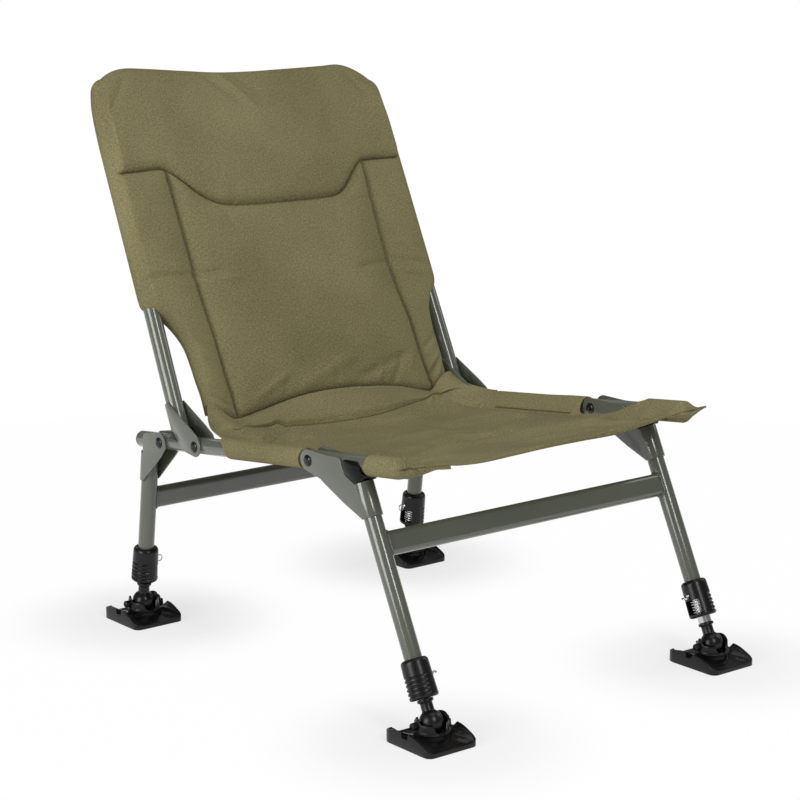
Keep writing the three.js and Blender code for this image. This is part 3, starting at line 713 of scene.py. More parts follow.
def collar(name, line, c0, mirror):
    """Clamp collar with a rounded lip, grip ribs outside and a window inwards."""
    rows = [(9.6, 0.3), (14.6, 0.0), (16.4, 0.35), (17.5, 1.3), (COLLAR_R, 2.8)]
    s = 3.6
    while s < 43:
        rows.append((COLLAR_R - max(0.0, (s - 8) / 35), s))
        s += 0.6
    rows += [(16.8, 44.4), (16.2, 46.0), (15.0, 47.4), (13.6, 48.2), (12.6, 48.4), (11.9, 48.1),
             (11.45, 47.4), (11.35, 46.0)]
    seg = 96
    verts, faces = [], []
    for r, up in rows:
        for c, n in circle(seg):
            rib = 0.0
            if c > 0.0 and 4.5 < up < 30.5:
                wave = max(0.0, math.sin((up - 4.5) / 5.2 * 2 * math.pi))
                rib = 1.3 * wave**0.6 * ease(c / 0.3)
            verts.append(line.point(SIDE_X + (r - rib) * c, (r - rib) * n, c0 + up))
    for index, face in enumerate(quads(len(rows), seg)):
        i, k = divmod(index, seg)
        a = 2 * math.pi * (k + 0.5) / seg
        up = (rows[i][1] + rows[i + 1][1]) / 2
        window = math.cos(a) < 0 and abs(math.sin(a)) * COLLAR_R < 13.4 and 4.8 < up < 23.6
        if not window:
            faces.append(face)
    obj = make(name, verts, faces, PLASTIC, 50.0, mirror, merged=False)
    drop_loose(obj.data)
    thicken(obj, 1.7, -1.0)
    soften_edges(obj, 0.3, 2, 60.0)
    return settle(obj, 45.0)


def ring_pin(name, line, s, mirror, lean):
    """Pull pin: a short shaft into the leg with a wire ring on its end."""
    shaft = rounded([(0.0, -6.4), (1.8, -6.4, 0.4), (1.8, -14.6), (2.6, -15.0, 0.2), (2.6, -17.4, 0.5),
                     (1.5, -18.2, 0.4), (0.0, -19.6)])
    seg = 14
    verts = [line.point(SIDE_X + x, r * c, s + r * d) for r, x in shaft for c, d in circle(seg)]
    faces = quads(len(shaft), seg)
    around, sides, big, wire = 36, 8, 4.2, 0.8
    faces += quads(around, sides, len(verts), loop=True)
    flat, upright = math.sin(lean), math.cos(lean)
    for c, d in circle(around):
        for e, f in circle(sides):
            r = big + wire * e
            off, up = wire * f, r * d
            n, rise_s = off * upright + up * flat, up * upright - off * flat
            verts.append(line.point(SIDE_X - 22.6 + r * c, n, s - 2.4 + rise_s))
    return make(name, verts, faces, PLATED, 50.0, mirror)


wing_line = flow([(-42, 5.4), (-36, 8.5), (-27, 13.0), (-10, 18.6), (16, 19.3), (30, 17.0), (41, 14.0),
                  (46, 12.5)])


def foot_height(x, y):
    """Top of the foot plate: raised wings, a ramped floor between them and ribs at the front."""
    a = abs(x)
    ramp = min(1.0, max(0.0, (y + 37) / 23))
    bound = lerp(23, 12, ramp)
    floor = lerp(4.2, 9.0, ramp) - 4.6 * ease((y - 18) / 14)
    share = min(1.0, max(0.0, (a - bound) / (35.2 - bound)))
    z = lerp(floor, wing_line(y) - 1.0, share**1.2)
    if a > 35.4:
        z = wing_line(y)
    if y < -38.6:
        z = lerp(5.5, z, ease((a - 27) / 9))
    if -2.2 < y < 9.2 and a > 20:
        z = min(z, 12.6)
    if y > 42:
        z = lerp(5.2, z, ease((a - 20) / 8))
    if x > 0 and y > -38.6:
        z += creased(x, y, ((23, -6, 33, -31, 1.3, 1.0), (15, -18, 29, -35, 1.3, 1.0)), 1.0, 2.2)
    return z


def swivel_foot(name, ball_y, x0):
    """Plate with wings, an open cup with a U-shaped gate and two round bosses."""
    ys = [-41.5, -41.2, -40.4, -39.2, -38.4, -37, -35, -32.5, -30, -27.5, -25, -22.5, -20, -17, -14, -11, -8,
          -5, -2.8, -2.0, -1, 2, 5, 8, 9.0, 9.8, 13, 17, 21, 25, 29, 32, 35, 38, 41, 41.8, 42.6, 44.2, 45.4,
          46]
    us = [0, .1, .2, .3, .38, .46, .54, .6, .66, .72, .78, .84, .89, .925, .94, .97, 1.0]
    us = [-u for u in reversed(us[1:])] + us
    verts = []
    for y in ys:
        half = 38.0
        if y < -32.5:
            half = 29 + math.sqrt(max(0.0, 81 - (-32.5 - y) ** 2))
        elif y > 32:
            half = 24 + math.sqrt(max(0.0, 196 - (y - 32) ** 2))
        verts += [(x0 + half * u, ball_y + y, foot_height(38 * u, y)) for u in us]
    cols, count = len(us), len(ys)
    faces = quads(count, cols, ring=False)
    last_row = (count - 1) * cols
    rim = list(range(cols)) + [j * cols + cols - 1 for j in range(1, count)]
    rim += [last_row + k for k in range(cols - 2, -1, -1)] + [j * cols for j in range(count - 2, 0, -1)]
    low = len(verts)
    verts += [(verts[i][0], verts[i][1], 0.0) for i in rim]
    for i, above in enumerate(rim):
        m = (i + 1) % len(rim)
        faces.append((rim[m], above, low + i, low + m))
    faces.append(tuple(low + i for i in range(len(rim))))

    def rim_height(c, d):
        """Top of the cup's wall: a broad horn on the right, a narrow one on the left, an open gate."""
        a = math.atan2(d, c)
        right, left = (
            math.degrees(math.atan2(math.sin(a - peak), math.cos(a - peak))) for peak in (0.15, 2.98)
        )
        top = 27.5 + 8.0 * bump(right, 48) + 8.5 * bump(left, 13)
        x = 20.5 * c
        if abs(x) < 10.4:
            bowl = 27.0 - math.sqrt(max(0.0, 108 - x * x))
            return min(top, bowl if d < 0 else bowl + 3)
        return top

    seg = 132
    levels = [(21.6, 4.0, 0.0), (21.4, 12.0, 0.0), (21.2, 15.0, 0.0), (22.9, 15.6, 0.0), (23.0, 17.0, 0.0),
              (21.2, 17.6, 0.0), (20.9, 0.0, 0.35), (20.6, 0.0, 0.75), (20.4, 0.0, 1.0), (18.6, 0.0, 1.0),
              (18.0, 0.0, 0.6), (17.6, 0.0, 0.2), (17.2, 15.5, 0.0), (15.0, 11.5, 0.0), (8.0, 9.6, 0.0)]
    base = len(verts)
    for radius, z, share in levels:
        for c, d in circle(seg):
            top = rim_height(c, d)
            high = lerp(17.6, top, share) if share else min(z, top)
            verts.append((x0 + radius * c, ball_y + radius * d, high))
    faces += quads(len(levels), seg, base)
    faces.append(tuple(reversed(range(base, base + seg))))
    faces.append(tuple(range(len(verts) - seg, len(verts))))
    boss = [(0.0, 28.2), (1.6, 28.2), (2.1, 27.4), (3.9, 27.4), (4.5, 26.8), (4.5, 19.6), (0.0, 19.6)]
    for sign in (-1, 1):
        faces += quads(len(boss), 20, len(verts))
        verts += [(x0 + sign * x, ball_y + 3.4 + radius * c, 25.0 + radius * d)
                  for radius, x in boss for c, d in circle(20)]
    obj = make(name, verts, faces, PLASTIC, 30.0)
    soften_edges(obj, 0.5, 2, 42.0)
    return settle(obj, 34.0)


def legs(coils):
    for key, c0 in COLLAR_BOTTOM.items():
        mirror, front = key.endswith("_l"), key.startswith("front")
        pair, line, ball_y = ("front_legs", FRONT, 0.0) if front else ("rear_legs", REAR, WHEELBASE)
        top, travel, lean = (291.0, 95.0, 1.25) if front else (215.0, 80.0, 0.15)
        tube = pipe(f"{key}_leg_tube", line, c0 + 26, top, TUBE_R, TUBE_WALL, FRAME, mirror)
        fitted(tube, pair, "frame_paint", f"{key}_outer_tube")
        ring = collar(f"{key}_clamp_collar", line, c0, mirror)
        fitted(ring, pair, "black_plastic", f"{key}_collar")
        coil = grown(f"{key}_spring_coil", coils, Finish=PLATED, Coil_radius=10.9, Coil_length=17.6,
                     Turns=5.0, Wire_radius=0.95)
        lay_on(coil, line, c0 + 5.2, mirror)
        fitted(coil, pair, "plated_steel", f"{key}_collar_spring")
        pin = ring_pin(f"{key}_release_pin", line, c0 + PIN_UP, mirror, lean)
        fitted(pin, f"{key}_pin", "plated_steel", f"{key}_pull_pin")
        reach = c0 + PIN_UP + travel + 42
        inner = pipe(f"{key}_sliding_tube", line, 27.8, reach, 8.75, 1.5, PLATED, mirror, 0.4)
        fitted(inner, f"{key}_inner_leg", "plated_steel", f"{key}_inner_tube")
        ball = [(0.0, -BALL_R)]
        for i in range(1, 13):
            a = -math.pi / 2 + i / 12 * (math.pi / 2 + math.radians(56))
            ball.append((BALL_R * math.cos(a), BALL_R * math.sin(a)))
        ball += [(7.6, 13.4, 0.6), (7.5, 22.6, 0.8), (8.0, 23.6, 0.4), (9.9, 24.0, 0.5), (9.9, 27.5, 0.4),
                 (6.9, 27.5), (6.9, 46.0, 0.5), (0.0, 46.0)]
        stem = turned(f"{key}_ball_joint", line, rounded(ball), PLASTIC, mirror, closed=False)
        fitted(stem, f"{key}_inner_leg", "black_plastic", f"{key}_ball_stem")
        pad = swivel_foot(f"{key}_swivel_foot", ball_y, -SIDE_X if mirror else SIDE_X)
        fitted(pad, f"{key}_foot", "black_plastic", f"{key}_foot_pad")


# ---- back hoop


def back_half(t):
    if t < 72:
        return SIDE_X
    return SIDE_X + (BACK_HALF_TOP - SIDE_X) * (t - 72) / (BACK_TOP - 72)


def hoop():
    """The back tube: two uprights and a bend at each top corner, as an outer and an inner wall."""
    bend_t = BACK_TOP - BACK_BEND
    half = [(back_half(t), t) for t in (32.0, 72.0, 200.0, bend_t - 80)]
    bend_x = back_half(BACK_TOP) - BACK_BEND
    for i in range(17):
        a = i / 16 * math.pi / 2
        half.append((bend_x + BACK_BEND * math.cos(a), bend_t + BACK_BEND * math.sin(a)))
    path = half + [(-x, t) for x, t in reversed(half)]
    seg, count = 40, len(path)
    verts = []
    for radius in (TUBE_R, TUBE_R - TUBE_WALL):
        for i, (x, t) in enumerate(path):
            along = Vector(path[min(count - 1, i + 1)]) - Vector(path[max(0, i - 1)])
            along.normalize()
            verts += [BACK.point(x + along.y * radius * c, radius * d, t - along.x * radius * c)
                      for c, d in circle(seg)]
    faces = quads(count, seg) + quads(count, seg, count * seg)
    for a in (0, (count - 1) * seg):
        b = a + count * seg
        faces += [(a + k, a + (k + 1) % seg, b + (k + 1) % seg, b + k) for k in range(seg)]
    fitted(make("back_hoop_tube", verts, faces, FRAME), "back", "frame_paint", "back_frame")


# ---- the back cushion, on the plane of the hoop: x across, t up, o proud of the tubes


seam_t = flow([(-250, 383), (-200, 384.5), (-166, 384.5), (-148, 371), (-127, 349), (-104, 334),
               (-79, 326.5), (-30, 323.5), (24, 323), (80, 323), (108, 325), (124, 334), (150, 361),
               (163, 371), (180, 372.5), (250, 372)])
left_channel = flow([(20, -150), (60, -152), (124, -155), (204, -159.5), (371, -162)])
right_channel = flow([(10, 190), (58, 181), (125, 177), (170, 170), (223, 165), (363, 168)])
top_edge = flow([(-249, 470), (-244, 483), (-236, 500), (-227, 514), (-214, 524), (-202, 530), (-188, 533.5),
                 (-171, 534), (-88, 526), (-34, 521), (20, 519.5), (67, 520), (152, 521.5), (176, 522.5),
                 (192, 519), (208, 511), (220, 502), (228, 493), (240, 465), (249, 440)])
low_edge = flow([(-205, 68), (-192, 57), (-186, 48), (-175, 37), (-164, 31), (-150, 30), (-112, 36),
                 (-60, 45), (-14, 49), (30, 48.5), (58, 46.5), (121, 38), (160, 27), (176, 24), (200, 34),
                 (225, 44)])
left_edge = flow([(14, 180), (31, 191), (73, 192), (94, 194), (118, 195.5), (145, 200), (177, 218),
                  (192, 236), (200, 246), (215, 248)])
right_edge = flow([(14, 178), (40, 217), (70, 220), (113, 221), (144, 223), (165, 233), (178, 244),
                   (188, 247.5), (205, 248)])
top_narrow = flow([(430, 0.0), (465, 1.4), (488, 4.0), (505, 8.0), (530, 14.0)])


def pad_side(t, sign):
    edge = left_edge(t) if sign < 0 else right_edge(t)
    full = max(0.0, t - 205) * 0.012
    return edge - full - top_narrow(t)


def rise(gap, reach):
    """A rounded shoulder beside a seam: 0 on the seam, 1 at full height."""
    k = min(1.0, max(0.0, gap / reach))
    return math.sqrt(max(0.0, 1 - (1 - k) ** 2))


def front_height(x, t, part, filling):
    """How far the filled front stands out from the plane of the hoop."""
    seam = seam_t(x)
    if part == "roll":
        crown = 12.5 - 9.0 * ease((t - 425) / 85) - 2.0 * abs(x / 240) ** 3
        end = ease((top_edge(x) - EDGE_R - t) / 12)
        return COVER + 1.2 * rise(t - seam, 8) + crown * filling * rise(t - seam, 17) * (0.25 + 0.75 * end)
    xl, xr = left_channel(t), right_channel(t)
    near_seam = 0.3 + 0.7 * rise(seam - t, 22)
    if xl < x < xr:
        height = COVER + 9.6 * filling * rise(min(x - xl, xr - x), 26) * near_seam
    else:
        sign = -1 if x <= xl else 1
        edge = pad_side(t, sign) - 8 - sign * x
        inner = xl - x if sign < 0 else x - xr
        height = COVER + 6.4 * filling * rise(inner, 15) * (0.35 + 0.65 * rise(edge, 12)) * near_seam
    height -= 2.5 * ease((150 - t) / 60)
    under = rise(t - low_edge(x), 15)
    return 2.5 + (height - 2.5) * under


CUSHION_FOLDS = (
    (-238, 236, -120, 231, 9, -1.5), (-150, 224, -95, 220, 7, 0.8), (165, 219, 105, 214, 8, -1.3),
    (240, 206, 172, 222, 8, -1.2), (222, 196, 180, 206, 6, 0.9), (-60, 515, -18, 468, 7, -1.5),
    (-38, 517, 4, 462, 6, 1.2), (-12, 514, 22, 476, 6, -0.9), (178, 318, 120, 310, 6, -0.7),
    (-188, 150, -158, 128, 7, -1.2), (-190, 92, -158, 66, 6, 1.0), (-186, 70, -154, 46, 5, -1.2),
    (218, 110, 182, 84, 6, -1.1), (216, 84, 184, 58, 5, 1.0), (-40, 60, 60, 92, 14, 0.9),
    (60, 60, 150, 84, 10, -1.2), (-120, 52, -60, 80, 9, 1.0), (112, 42, 140, 80, 6, -1.4),
    (-225, 470, -190, 516, 7, -1.0), (205, 470, 178, 508, 8, -1.0), (200, 62, 178, 40, 5, -1.6),
    (212, 70, 196, 44, 4, 1.2), (-182, 120, -164, 108, 5, -0.9), (-176, 58, -160, 40, 4, 1.3),
    (-150, 330, -118, 318, 7, -0.8), (150, 345, 120, 320, 7, -0.9), (-212, 180, -176, 160, 8, 0.9),
    (-165, 372, -150, 340, 6, -1.0), (228, 240, 176, 246, 9, 0.7), (-90, 320, -84, 296, 6, -0.6),
    (30, 318, 26, 296, 6, -0.5), (100, 318, 92, 290, 7, -0.6), (90, 50, 104, 74, 6, 1.0),
    (20, 56, 22, 78, 6, -0.8), (-70, 52, -60, 74, 6, -0.8), (150, 60, 164, 90, 6, 0.9),
)


def shares(count, fine):
    """Even steps from 0 to 1 with narrow ones next to both ends."""
    edge = fine[-1] * 1.5
    even = [i / count for i in range(count) if edge < i / count < 1 - edge]
    return [0.0, *fine, *even] + [1 - f for f in reversed(fine)]


def wrap_radius(t):
    """Radius of the cover where it turns round the hoop's tube."""
    return 8.5 + 4.9 * ease((t - 150) / 50)


def row_t(kind, angle, v, x):
    """How far up a row of the cushion lies at x: v is its share of the panel, and the angle is 90
    on the front and smaller where the cover turns back."""
    if kind != "roll":
        base = low_edge(x)
        if angle < 90:
            return base - 3 * (1 - math.sin(math.radians(angle)))
        return base + (seam_t(x) - base) * v
    top = top_edge(x) - EDGE_R
    if angle < 90:
        return top + EDGE_R * math.cos(math.radians(angle))
    return seam_t(x) + (top - seam_t(x)) * v


def back_cushion():
    side_shares, centre_shares = shares(10, (0.05,)), shares(42, (0.008, 0.024))
    side_cols, centre_cols, wrap_cols = len(side_shares), len(centre_shares), 8
    turn_rows = 6
    filling = 0.88

    rows = [("low", j / turn_rows * 90, 0.0) for j in range(turn_rows)]
    low_rows = [0.0, 0.006, 0.014, 0.024, 0.036, 0.05] + [0.07 + 0.0159 * j for j in range(57)]
    rows += [("low", 90, v) for v in low_rows + [0.962, 0.975, 0.985, 0.993]]
    seam_row = len(rows)
    rows.append(("seam", 90, 1.0))
    roll_rows = [0.012, 0.03, 0.055, 0.085, 0.12] + [0.155 + 0.0333 * j for j in range(26)]
    rows += [("roll", 90, v) for v in roll_rows + [1.0]]
    rows += [("roll", 90 - j / turn_rows * 90, 1.0) for j in range(1, turn_rows + 1)]

    def front_columns(t):
        xl, xr = left_channel(t), right_channel(t)
        if t > 372:
            k = ease((t - 372) / 60)
            xl, xr = lerp(xl, -150, k), lerp(xr, 150, k)
        left = -pad_side(t, -1) + wrap_radius(t)
        right = pad_side(t, 1) - wrap_radius(t)
        out = [lerp(left, xl, s) for s in side_shares]
        out += [lerp(xl, xr, s) for s in centre_shares]
        return out + [lerp(xr, right, s) for s in side_shares] + [right]

    def turn_back(ring, column, start, squeeze):
        """The cover round one upright of the hoop, from the front to the back or back again."""
        x, t = ring[column][:2]
        radius = wrap_radius(t)
        for k in range(1, wrap_cols):
            a = start - math.pi * k / wrap_cols
            ring.append((x + radius * math.cos(a) * squeeze, t, radius * math.sin(a) * squeeze, "wrap", k))

    verts = []
    seams = (side_cols, side_cols + centre_cols)
    last_column = side_cols * 2 + centre_cols
    for kind, angle, v in rows:
        nominal = {"low": 38 + (340 - 38) * v, "seam": 350, "roll": 350 + (512 - 350) * v}[kind]
        squeeze = math.sin(math.radians(angle))
        columns = front_columns(nominal)
        for _ in range(4):
            columns = [front_columns(row_t(kind, angle, v, x))[i] for i, x in enumerate(columns)]
        ring = []
        for i, x in enumerate(columns):
            t = row_t(kind, angle, v, x)
            o = front_height(x, t, "roll" if kind == "roll" else "low", filling)
            if kind == "seam":
                o -= 3.4
            elif kind == "low" and i in seams:
                o -= 2.8 * rise(t - low_edge(x), 15)
            ring.append((x, t, o * squeeze, "front", i))
        turn_back(ring, len(columns) - 1, math.pi / 2, squeeze)
        for i in range(len(columns) - 1, -1, -1):
            x, t = ring[i][:2]
            hollow = 2.0 * (1 - (x / 240) ** 2)
            ring.append((x, t, (hollow - wrap_radius(t)) * squeeze, "back", i))
        turn_back(ring, 0, -math.pi / 2, squeeze)
        verts.append(ring)

    width = len(verts[0])
    points, pinned = [], []
    for (kind, angle, v), ring in zip(rows, verts):
        for x, t, o, part, i in ring:
            points.append(BACK.point(x, -o, t))
            sewn_row = part != "front" or angle < 60 or kind == "seam" or (kind == "low" and v < 0.03)
            if sewn_row or (kind == "low" and i in seams):
                pinned.append(1.0)
            else:
                pinned.append(0.9 if i in (0, last_column) else 0.0)
    faces = quads(len(verts), width)
    obj = make("quilted_back_cushion", points, faces, OLIVE, 80.0, merged=False)
    mesh = obj.data
    flat = mesh.uv_layers.new(name="flat")
    reach = [0.0]
    middle = verts[len(verts) // 2]
    for k in range(1, width + 1):
        a, b = middle[k - 1], middle[k % width]
        reach.append(reach[-1] + math.dist((a[0], a[2]), (b[0], b[2])))
    for polygon in mesh.polygons:
        for loop in polygon.loop_indices:
            j, k = divmod(mesh.loops[loop].vertex_index, width)
            around = width if k == 0 and polygon.index % width == width - 1 else k
            flat.data[loop].uv = (reach[around] * MM, verts[j][k][1] * MM)
    sewn = mesh.attributes.new("crease_edge", "FLOAT", "EDGE")
    for edge in mesh.edges:
        (ja, ka), (jb, kb) = (divmod(end, width) for end in edge.vertices)
        along_seam = ja == jb == seam_row and max(ka, kb) <= last_column
        down_channel = ka == kb and ka in seams and max(ja, jb) <= seam_row and min(ja, jb) > turn_rows
        if along_seam or down_channel:
            sewn.data[edge.index].value = 0.9
    inflate(obj, pinned)
    outward(obj.data)
    obj.data.shade_smooth()
    setup(obj.modifiers.new("smooth", "SUBSURF"), levels=1, render_levels=1)
    settle(obj, 80.0)
    for vertex in obj.data.vertices:
        x, (n, t) = vertex.co.x / MM, BACK.of(vertex.co.y / MM - Y_SHIFT, vertex.co.z / MM)
        if n < -6 and abs(x) < 240:
            fold = creased(x, t, CUSHION_FOLDS, 0.62, 2.2) * rise(t - low_edge(x), 15) * ease((-n - 6) / 5)
            vertex.co += Vector((0, -BACK.dz, BACK.dy)) * (fold * MM)
    fitted(obj, "back", "olive_cloth", "back_pad")


def inflate(obj, pinned):
    """Blows the quilted panels out between their seams and keeps the puckers."""
    group = obj.vertex_groups.new(name="seams")
    for index, weight in enumerate(pinned):
        if weight > 0:
            group.add([index], weight, "REPLACE")
    outward(obj.data)
    before = [v.co.copy() for v in obj.data.vertices]
    cloth = obj.modifiers.new("filling", "CLOTH")
    setup(cloth.settings, quality=6, mass=0.02, tension_stiffness=15, compression_stiffness=5,
          shear_stiffness=4, bending_stiffness=0.1, use_pressure=True, uniform_pressure_force=25.0,
          shrink_min=-0.002, vertex_group_mass="seams", pin_stiffness=3.0)
    cloth.settings.effector_weights.gravity = 0
    cloth.collision_settings.use_collision = False
    setup(cloth.point_cache, frame_start=1, frame_end=22)
    for step in range(1, 21):
        scene.frame_set(step)
    depsgraph = bpy.context.evaluated_depsgraph_get()
    after = [v.co.copy() for v in obj.evaluated_get(depsgraph).data.vertices]
    obj.modifiers.clear()
    scene.frame_set(1)
    for vertex, start, end in zip(obj.data.vertices, before, after):
        vertex.co = start.lerp(end, 0.3)
    obj.vertex_groups.clear()


# ---- the sling seat: heights are over the line of the rails


FRONT_Y = 49.0
TAIL_Y = 422.0
NOTCH_END = 241.0
NOTCH_START = {-1: 112, 1: 126}
fold_y = flow([(-200, 460), (-165, 465), (-140, 474), (-105, 478), (-87, 473), (-60, 468), (-27, 460),
               (11, 455), (62, 459), (110, 467), (150, 472), (184, 482), (215, 487)])
fold_h = flow([(-200, 17), (-165, 14.5), (-140, 12), (-105, 8), (-87, 6), (-60, 3.5), (-27, 2.5),
               (11, 2.5), (62, 3.5), (110, 8), (150, 11.5), (184, 14), (215, 17)])
notch_x = flow([(112, 229.5), (114.5, 220), (118, 219), (140, 216.5), (160, 213), (190, 209), (222, 210),
                (232, 213), (237, 218.5), (239, 222), (241, 229.5)])
notch_h = flow([(112, 12.6), (118, 12.2), (125, 11), (140, 6.8), (160, 1), (180, -3.8), (195, -5.6),
                (222, -6.0), (231, -3.6), (236, 1.5), (241, 12.0)])
hem_low = flow([(-235, -1.0), (-219, -2.2), (-183, -4.0), (-165, -6.4), (-150, -8.6), (-114, -10.6),
                (-62, -9.3), (-10, -7.9), (45, -7.7), (103, -8.0), (140, -4.8), (161, -3.0), (190, 0.4),
                (235, 2.4)])
hem_tall = flow([(-208, 2.6), (-132, 2.8), (-80, 4.6), (-27, 4.8), (27, 5.8), (76, 6.8), (100, 8.2),
                 (148, 6.0), (173, 4.6), (194, 2.6)])
flap_low = flow([(-232, -12.6), (-210, -11.2), (-197, -9.5), (-187, -8.5), (-172, -10.2), (-165, -10.9),
                 (0, 0), (186, 0.6), (197, -0.9), (206, -1.2), (220, -4.0), (236, -6.6)])
# the outer edge of the tail on each side, as (share, across), (share, back) and (share, height)
TAIL_EDGE = {
    -1: (
        flow([(0, 235), (0.15, 228), (0.3, 222), (0.5, 214), (0.7, 207), (0.82, 203.5), (0.92, 200),
              (1, 196)]),
        flow([(0, 422), (0.15, 440), (0.3, 455), (0.5, 475), (0.7, 492), (0.82, 500), (0.92, 506.5),
              (1, 511)]),
        flow([(0, 13.2), (0.15, 14.3), (0.3, 15.3), (0.5, 17.2), (0.7, 21.3), (0.82, 29), (0.92, 38),
              (1, 47)]),
    ),
    1: (
        flow([(0, 238), (0.2, 237), (0.38, 235), (0.59, 228), (0.72, 224), (0.86, 221), (1, 220)]),
        flow([(0, 422), (0.38, 456), (0.59, 474), (0.72, 486), (0.86, 498), (1, 510)]),
        flow([(0, 12.6), (0.2, 13.2), (0.38, 15.4), (0.59, 20.3), (0.72, 24.6), (0.86, 30.5), (1, 39)]),
    ),
}
PANEL_FOLDS = (
    (-60, 205, 30, 201, 12, -2.0), (30, 201, 85, 200, 12, -3.2), (85, 200, 145, 196, 12, -3.4),
    (145, 196, 196, 192, 11, -2.8), (-80, 184, 45, 178, 16, 2.2), (45, 178, 122, 172, 15, 3.6),
    (122, 172, 190, 166, 14, 3.4), (50, 250, 93, 268, 11, -2.0), (93, 268, 168, 292, 11, -3.2),
    (30, 219, 69, 230, 13, 2.0), (69, 230, 129, 254, 14, 3.2), (129, 254, 172, 270, 12, 3.0),
    (-48, 238, 31, 255, 14, 1.8), (60, 352, 122, 354, 12, -2.2), (122, 354, 190, 338, 10, -2.8),
    (50, 326, 186, 312, 16, 2.6), (-120, 216, -60, 228, 14, 1.8), (-162, 112, -100, 128, 13, 2.0),
    (-150, 138, -90, 148, 11, -1.8), (-107, 172, -30, 178, 13, 1.8), (-206, 92, -150, 84, 10, 2.6),
    (-204, 110, -150, 106, 9, -2.2), (-200, 70, -150, 68, 8, 1.8), (150, 136, 202, 100, 12, 2.4),
    (132, 150, 194, 130, 9, -2.0), (-80, 306, 40, 312, 18, 2.0), (-120, 336, -10, 346, 14, -2.0),
    (-156, 388, -111, 410, 9, 2.0), (-152, 404, -100, 428, 8, -2.6), (-100, 428, -40, 434, 9, -1.8),
    (20, 124, 130, 114, 16, 2.4), (10, 146, 120, 138, 12, -1.8),
)
TAIL_FOLDS = (
    (-165, 441, -133, 467, 5, 2.4), (-133, 467, -96, 485, 5, 2.0), (-158, 434, -122, 461, 4, -2.2),
    (-122, 461, -92, 476, 4, -1.8), (-184, 458, -150, 478, 4, 1.6), (-180, 466, -142, 488, 4, -1.6),
    (-154, 402, -106, 434, 7, 1.7), (-106, 434, -62, 451, 7, 1.5), (-146, 412, -98, 442, 5, -1.4),
    (-84, 428, -50, 428, 8, 1.0), (150, 470, 178, 488, 5, 1.6), (140, 458, 168, 474, 5, -1.4),
    (112, 452, 60, 440, 8, 1.0), (196, 470, 206, 440, 6, 1.5), (186, 462, 196, 434, 5, -1.2),
)


def sling_height(x, y):
    """The panel between the rails: hollow, a little higher at its turned front, with soft folds."""
    u = min(1.0, abs(x) / PANEL_HALF)
    sag = -7.0 - 2.4 * (1 - u**2) * (1 - abs(y - 250) / 420)
    front = ease((96 - y) / 44)
    folds = creased(x, y, PANEL_FOLDS, 1.0, 1.6)
    folds += 1.4 * bump(y - (386 - 0.16 * x), 8) * ease((60 - x) / 90)
    folds -= 1.4 * bump(y - (401 - 0.16 * x), 7) * ease((60 - x) / 90)
    folds -= 1.6 * bump(abs(x) - 198.5, 3.0)
    return lerp(sag + folds, hem_low(x) + hem_tall(x), front)


def crease(x):
    """Where the cushion's lower front meets the seat cloth."""
    return BACK.at(CREASE_N, low_edge(x) + 0.6)


def notch_place(y, side):
    """The opening for the leg hinge starts further back on the right."""
    return y if side < 0 or y > 160 else lerp(112, 160, (y - 126) / 34)


def sleeve_lift(y, side):
    """The right sleeve stands higher in front and lies flatter at the rear."""
    return 0.0 if side < 0 else 3.3 * ease((138 - y) / 14) - 1.2 * ease((y - 262) / 60)


def tail_point(u, v, side):
    """Cloth behind the sleeves: up to a sharp fold, then a full curve up to the cushion."""
    edge_x, edge_y, edge_h = TAIL_EDGE[side]
    x = edge_x(v) * u * side
    fold, high = fold_y(x) + 4.0, fold_h(x) - 1.5
    y_end, z_end = crease(max(-188.0, min(217.0, x)))
    end = z_end - rail_z(y_end)
    fold = min(fold, y_end - 18)
    level = sling_height(x, TAIL_Y)
    split = 0.46
    if v <= split:
        w = v / split
        y = lerp(TAIL_Y, fold, w)
        h = lerp(level, high, w**1.5)
    else:
        w = (v - split) / (1 - split)
        y = lerp(fold, y_end, w) - 6.0 * bump(w - 0.18, 0.14) - 1.8 * bump(w - 0.9, 0.05)
        h = lerp(high, end, math.sin(math.pi / 2 * min(1.0, w)) ** 0.85) + 2.6 * bump(w - 0.92, 0.05)
    fade_in = ease(v / 0.06) * ease((0.99 - v) / 0.10) * ease((0.96 - u) / 0.12)
    h += creased(x, y, TAIL_FOLDS, 0.8, 2.1) * fade_in
    near = ease((u - 0.80) / 0.2)
    y = lerp(y, edge_y(v), near)
    return (x, y, rail_z(y) + lerp(h, edge_h(v), near))


# places across the slope up to the sleeve, with the height's share from the panel, and round the sleeve
SLOPE =[(201.5, 0.97), (205, 0.86), (210.5, 0.66), (217, 0.42), (223.5, 0.19), (229.5, 0.045)]
WRAP_ANGLES = [97, 82, 66, 50, 34, 18, 2, -14, -30, -46, -62, -78, -94, -108]
UNDER = {-1: [(224, -12.6), (213, -10.8), (204, -9.6)], 1: [(221, -9.5), (211, -6.4), (203, -4.4)]}
# the flattened front corner on each side: its tip, its lowest place and its inner end
CORNER = {-1: ((245.5, 0.2), (234.0, -12.4), (206.0, -10.6)), 1: ((267.0, 5.4), (235.0, -6.4), (192.0, 0.2))}
PANEL_COLS = 104


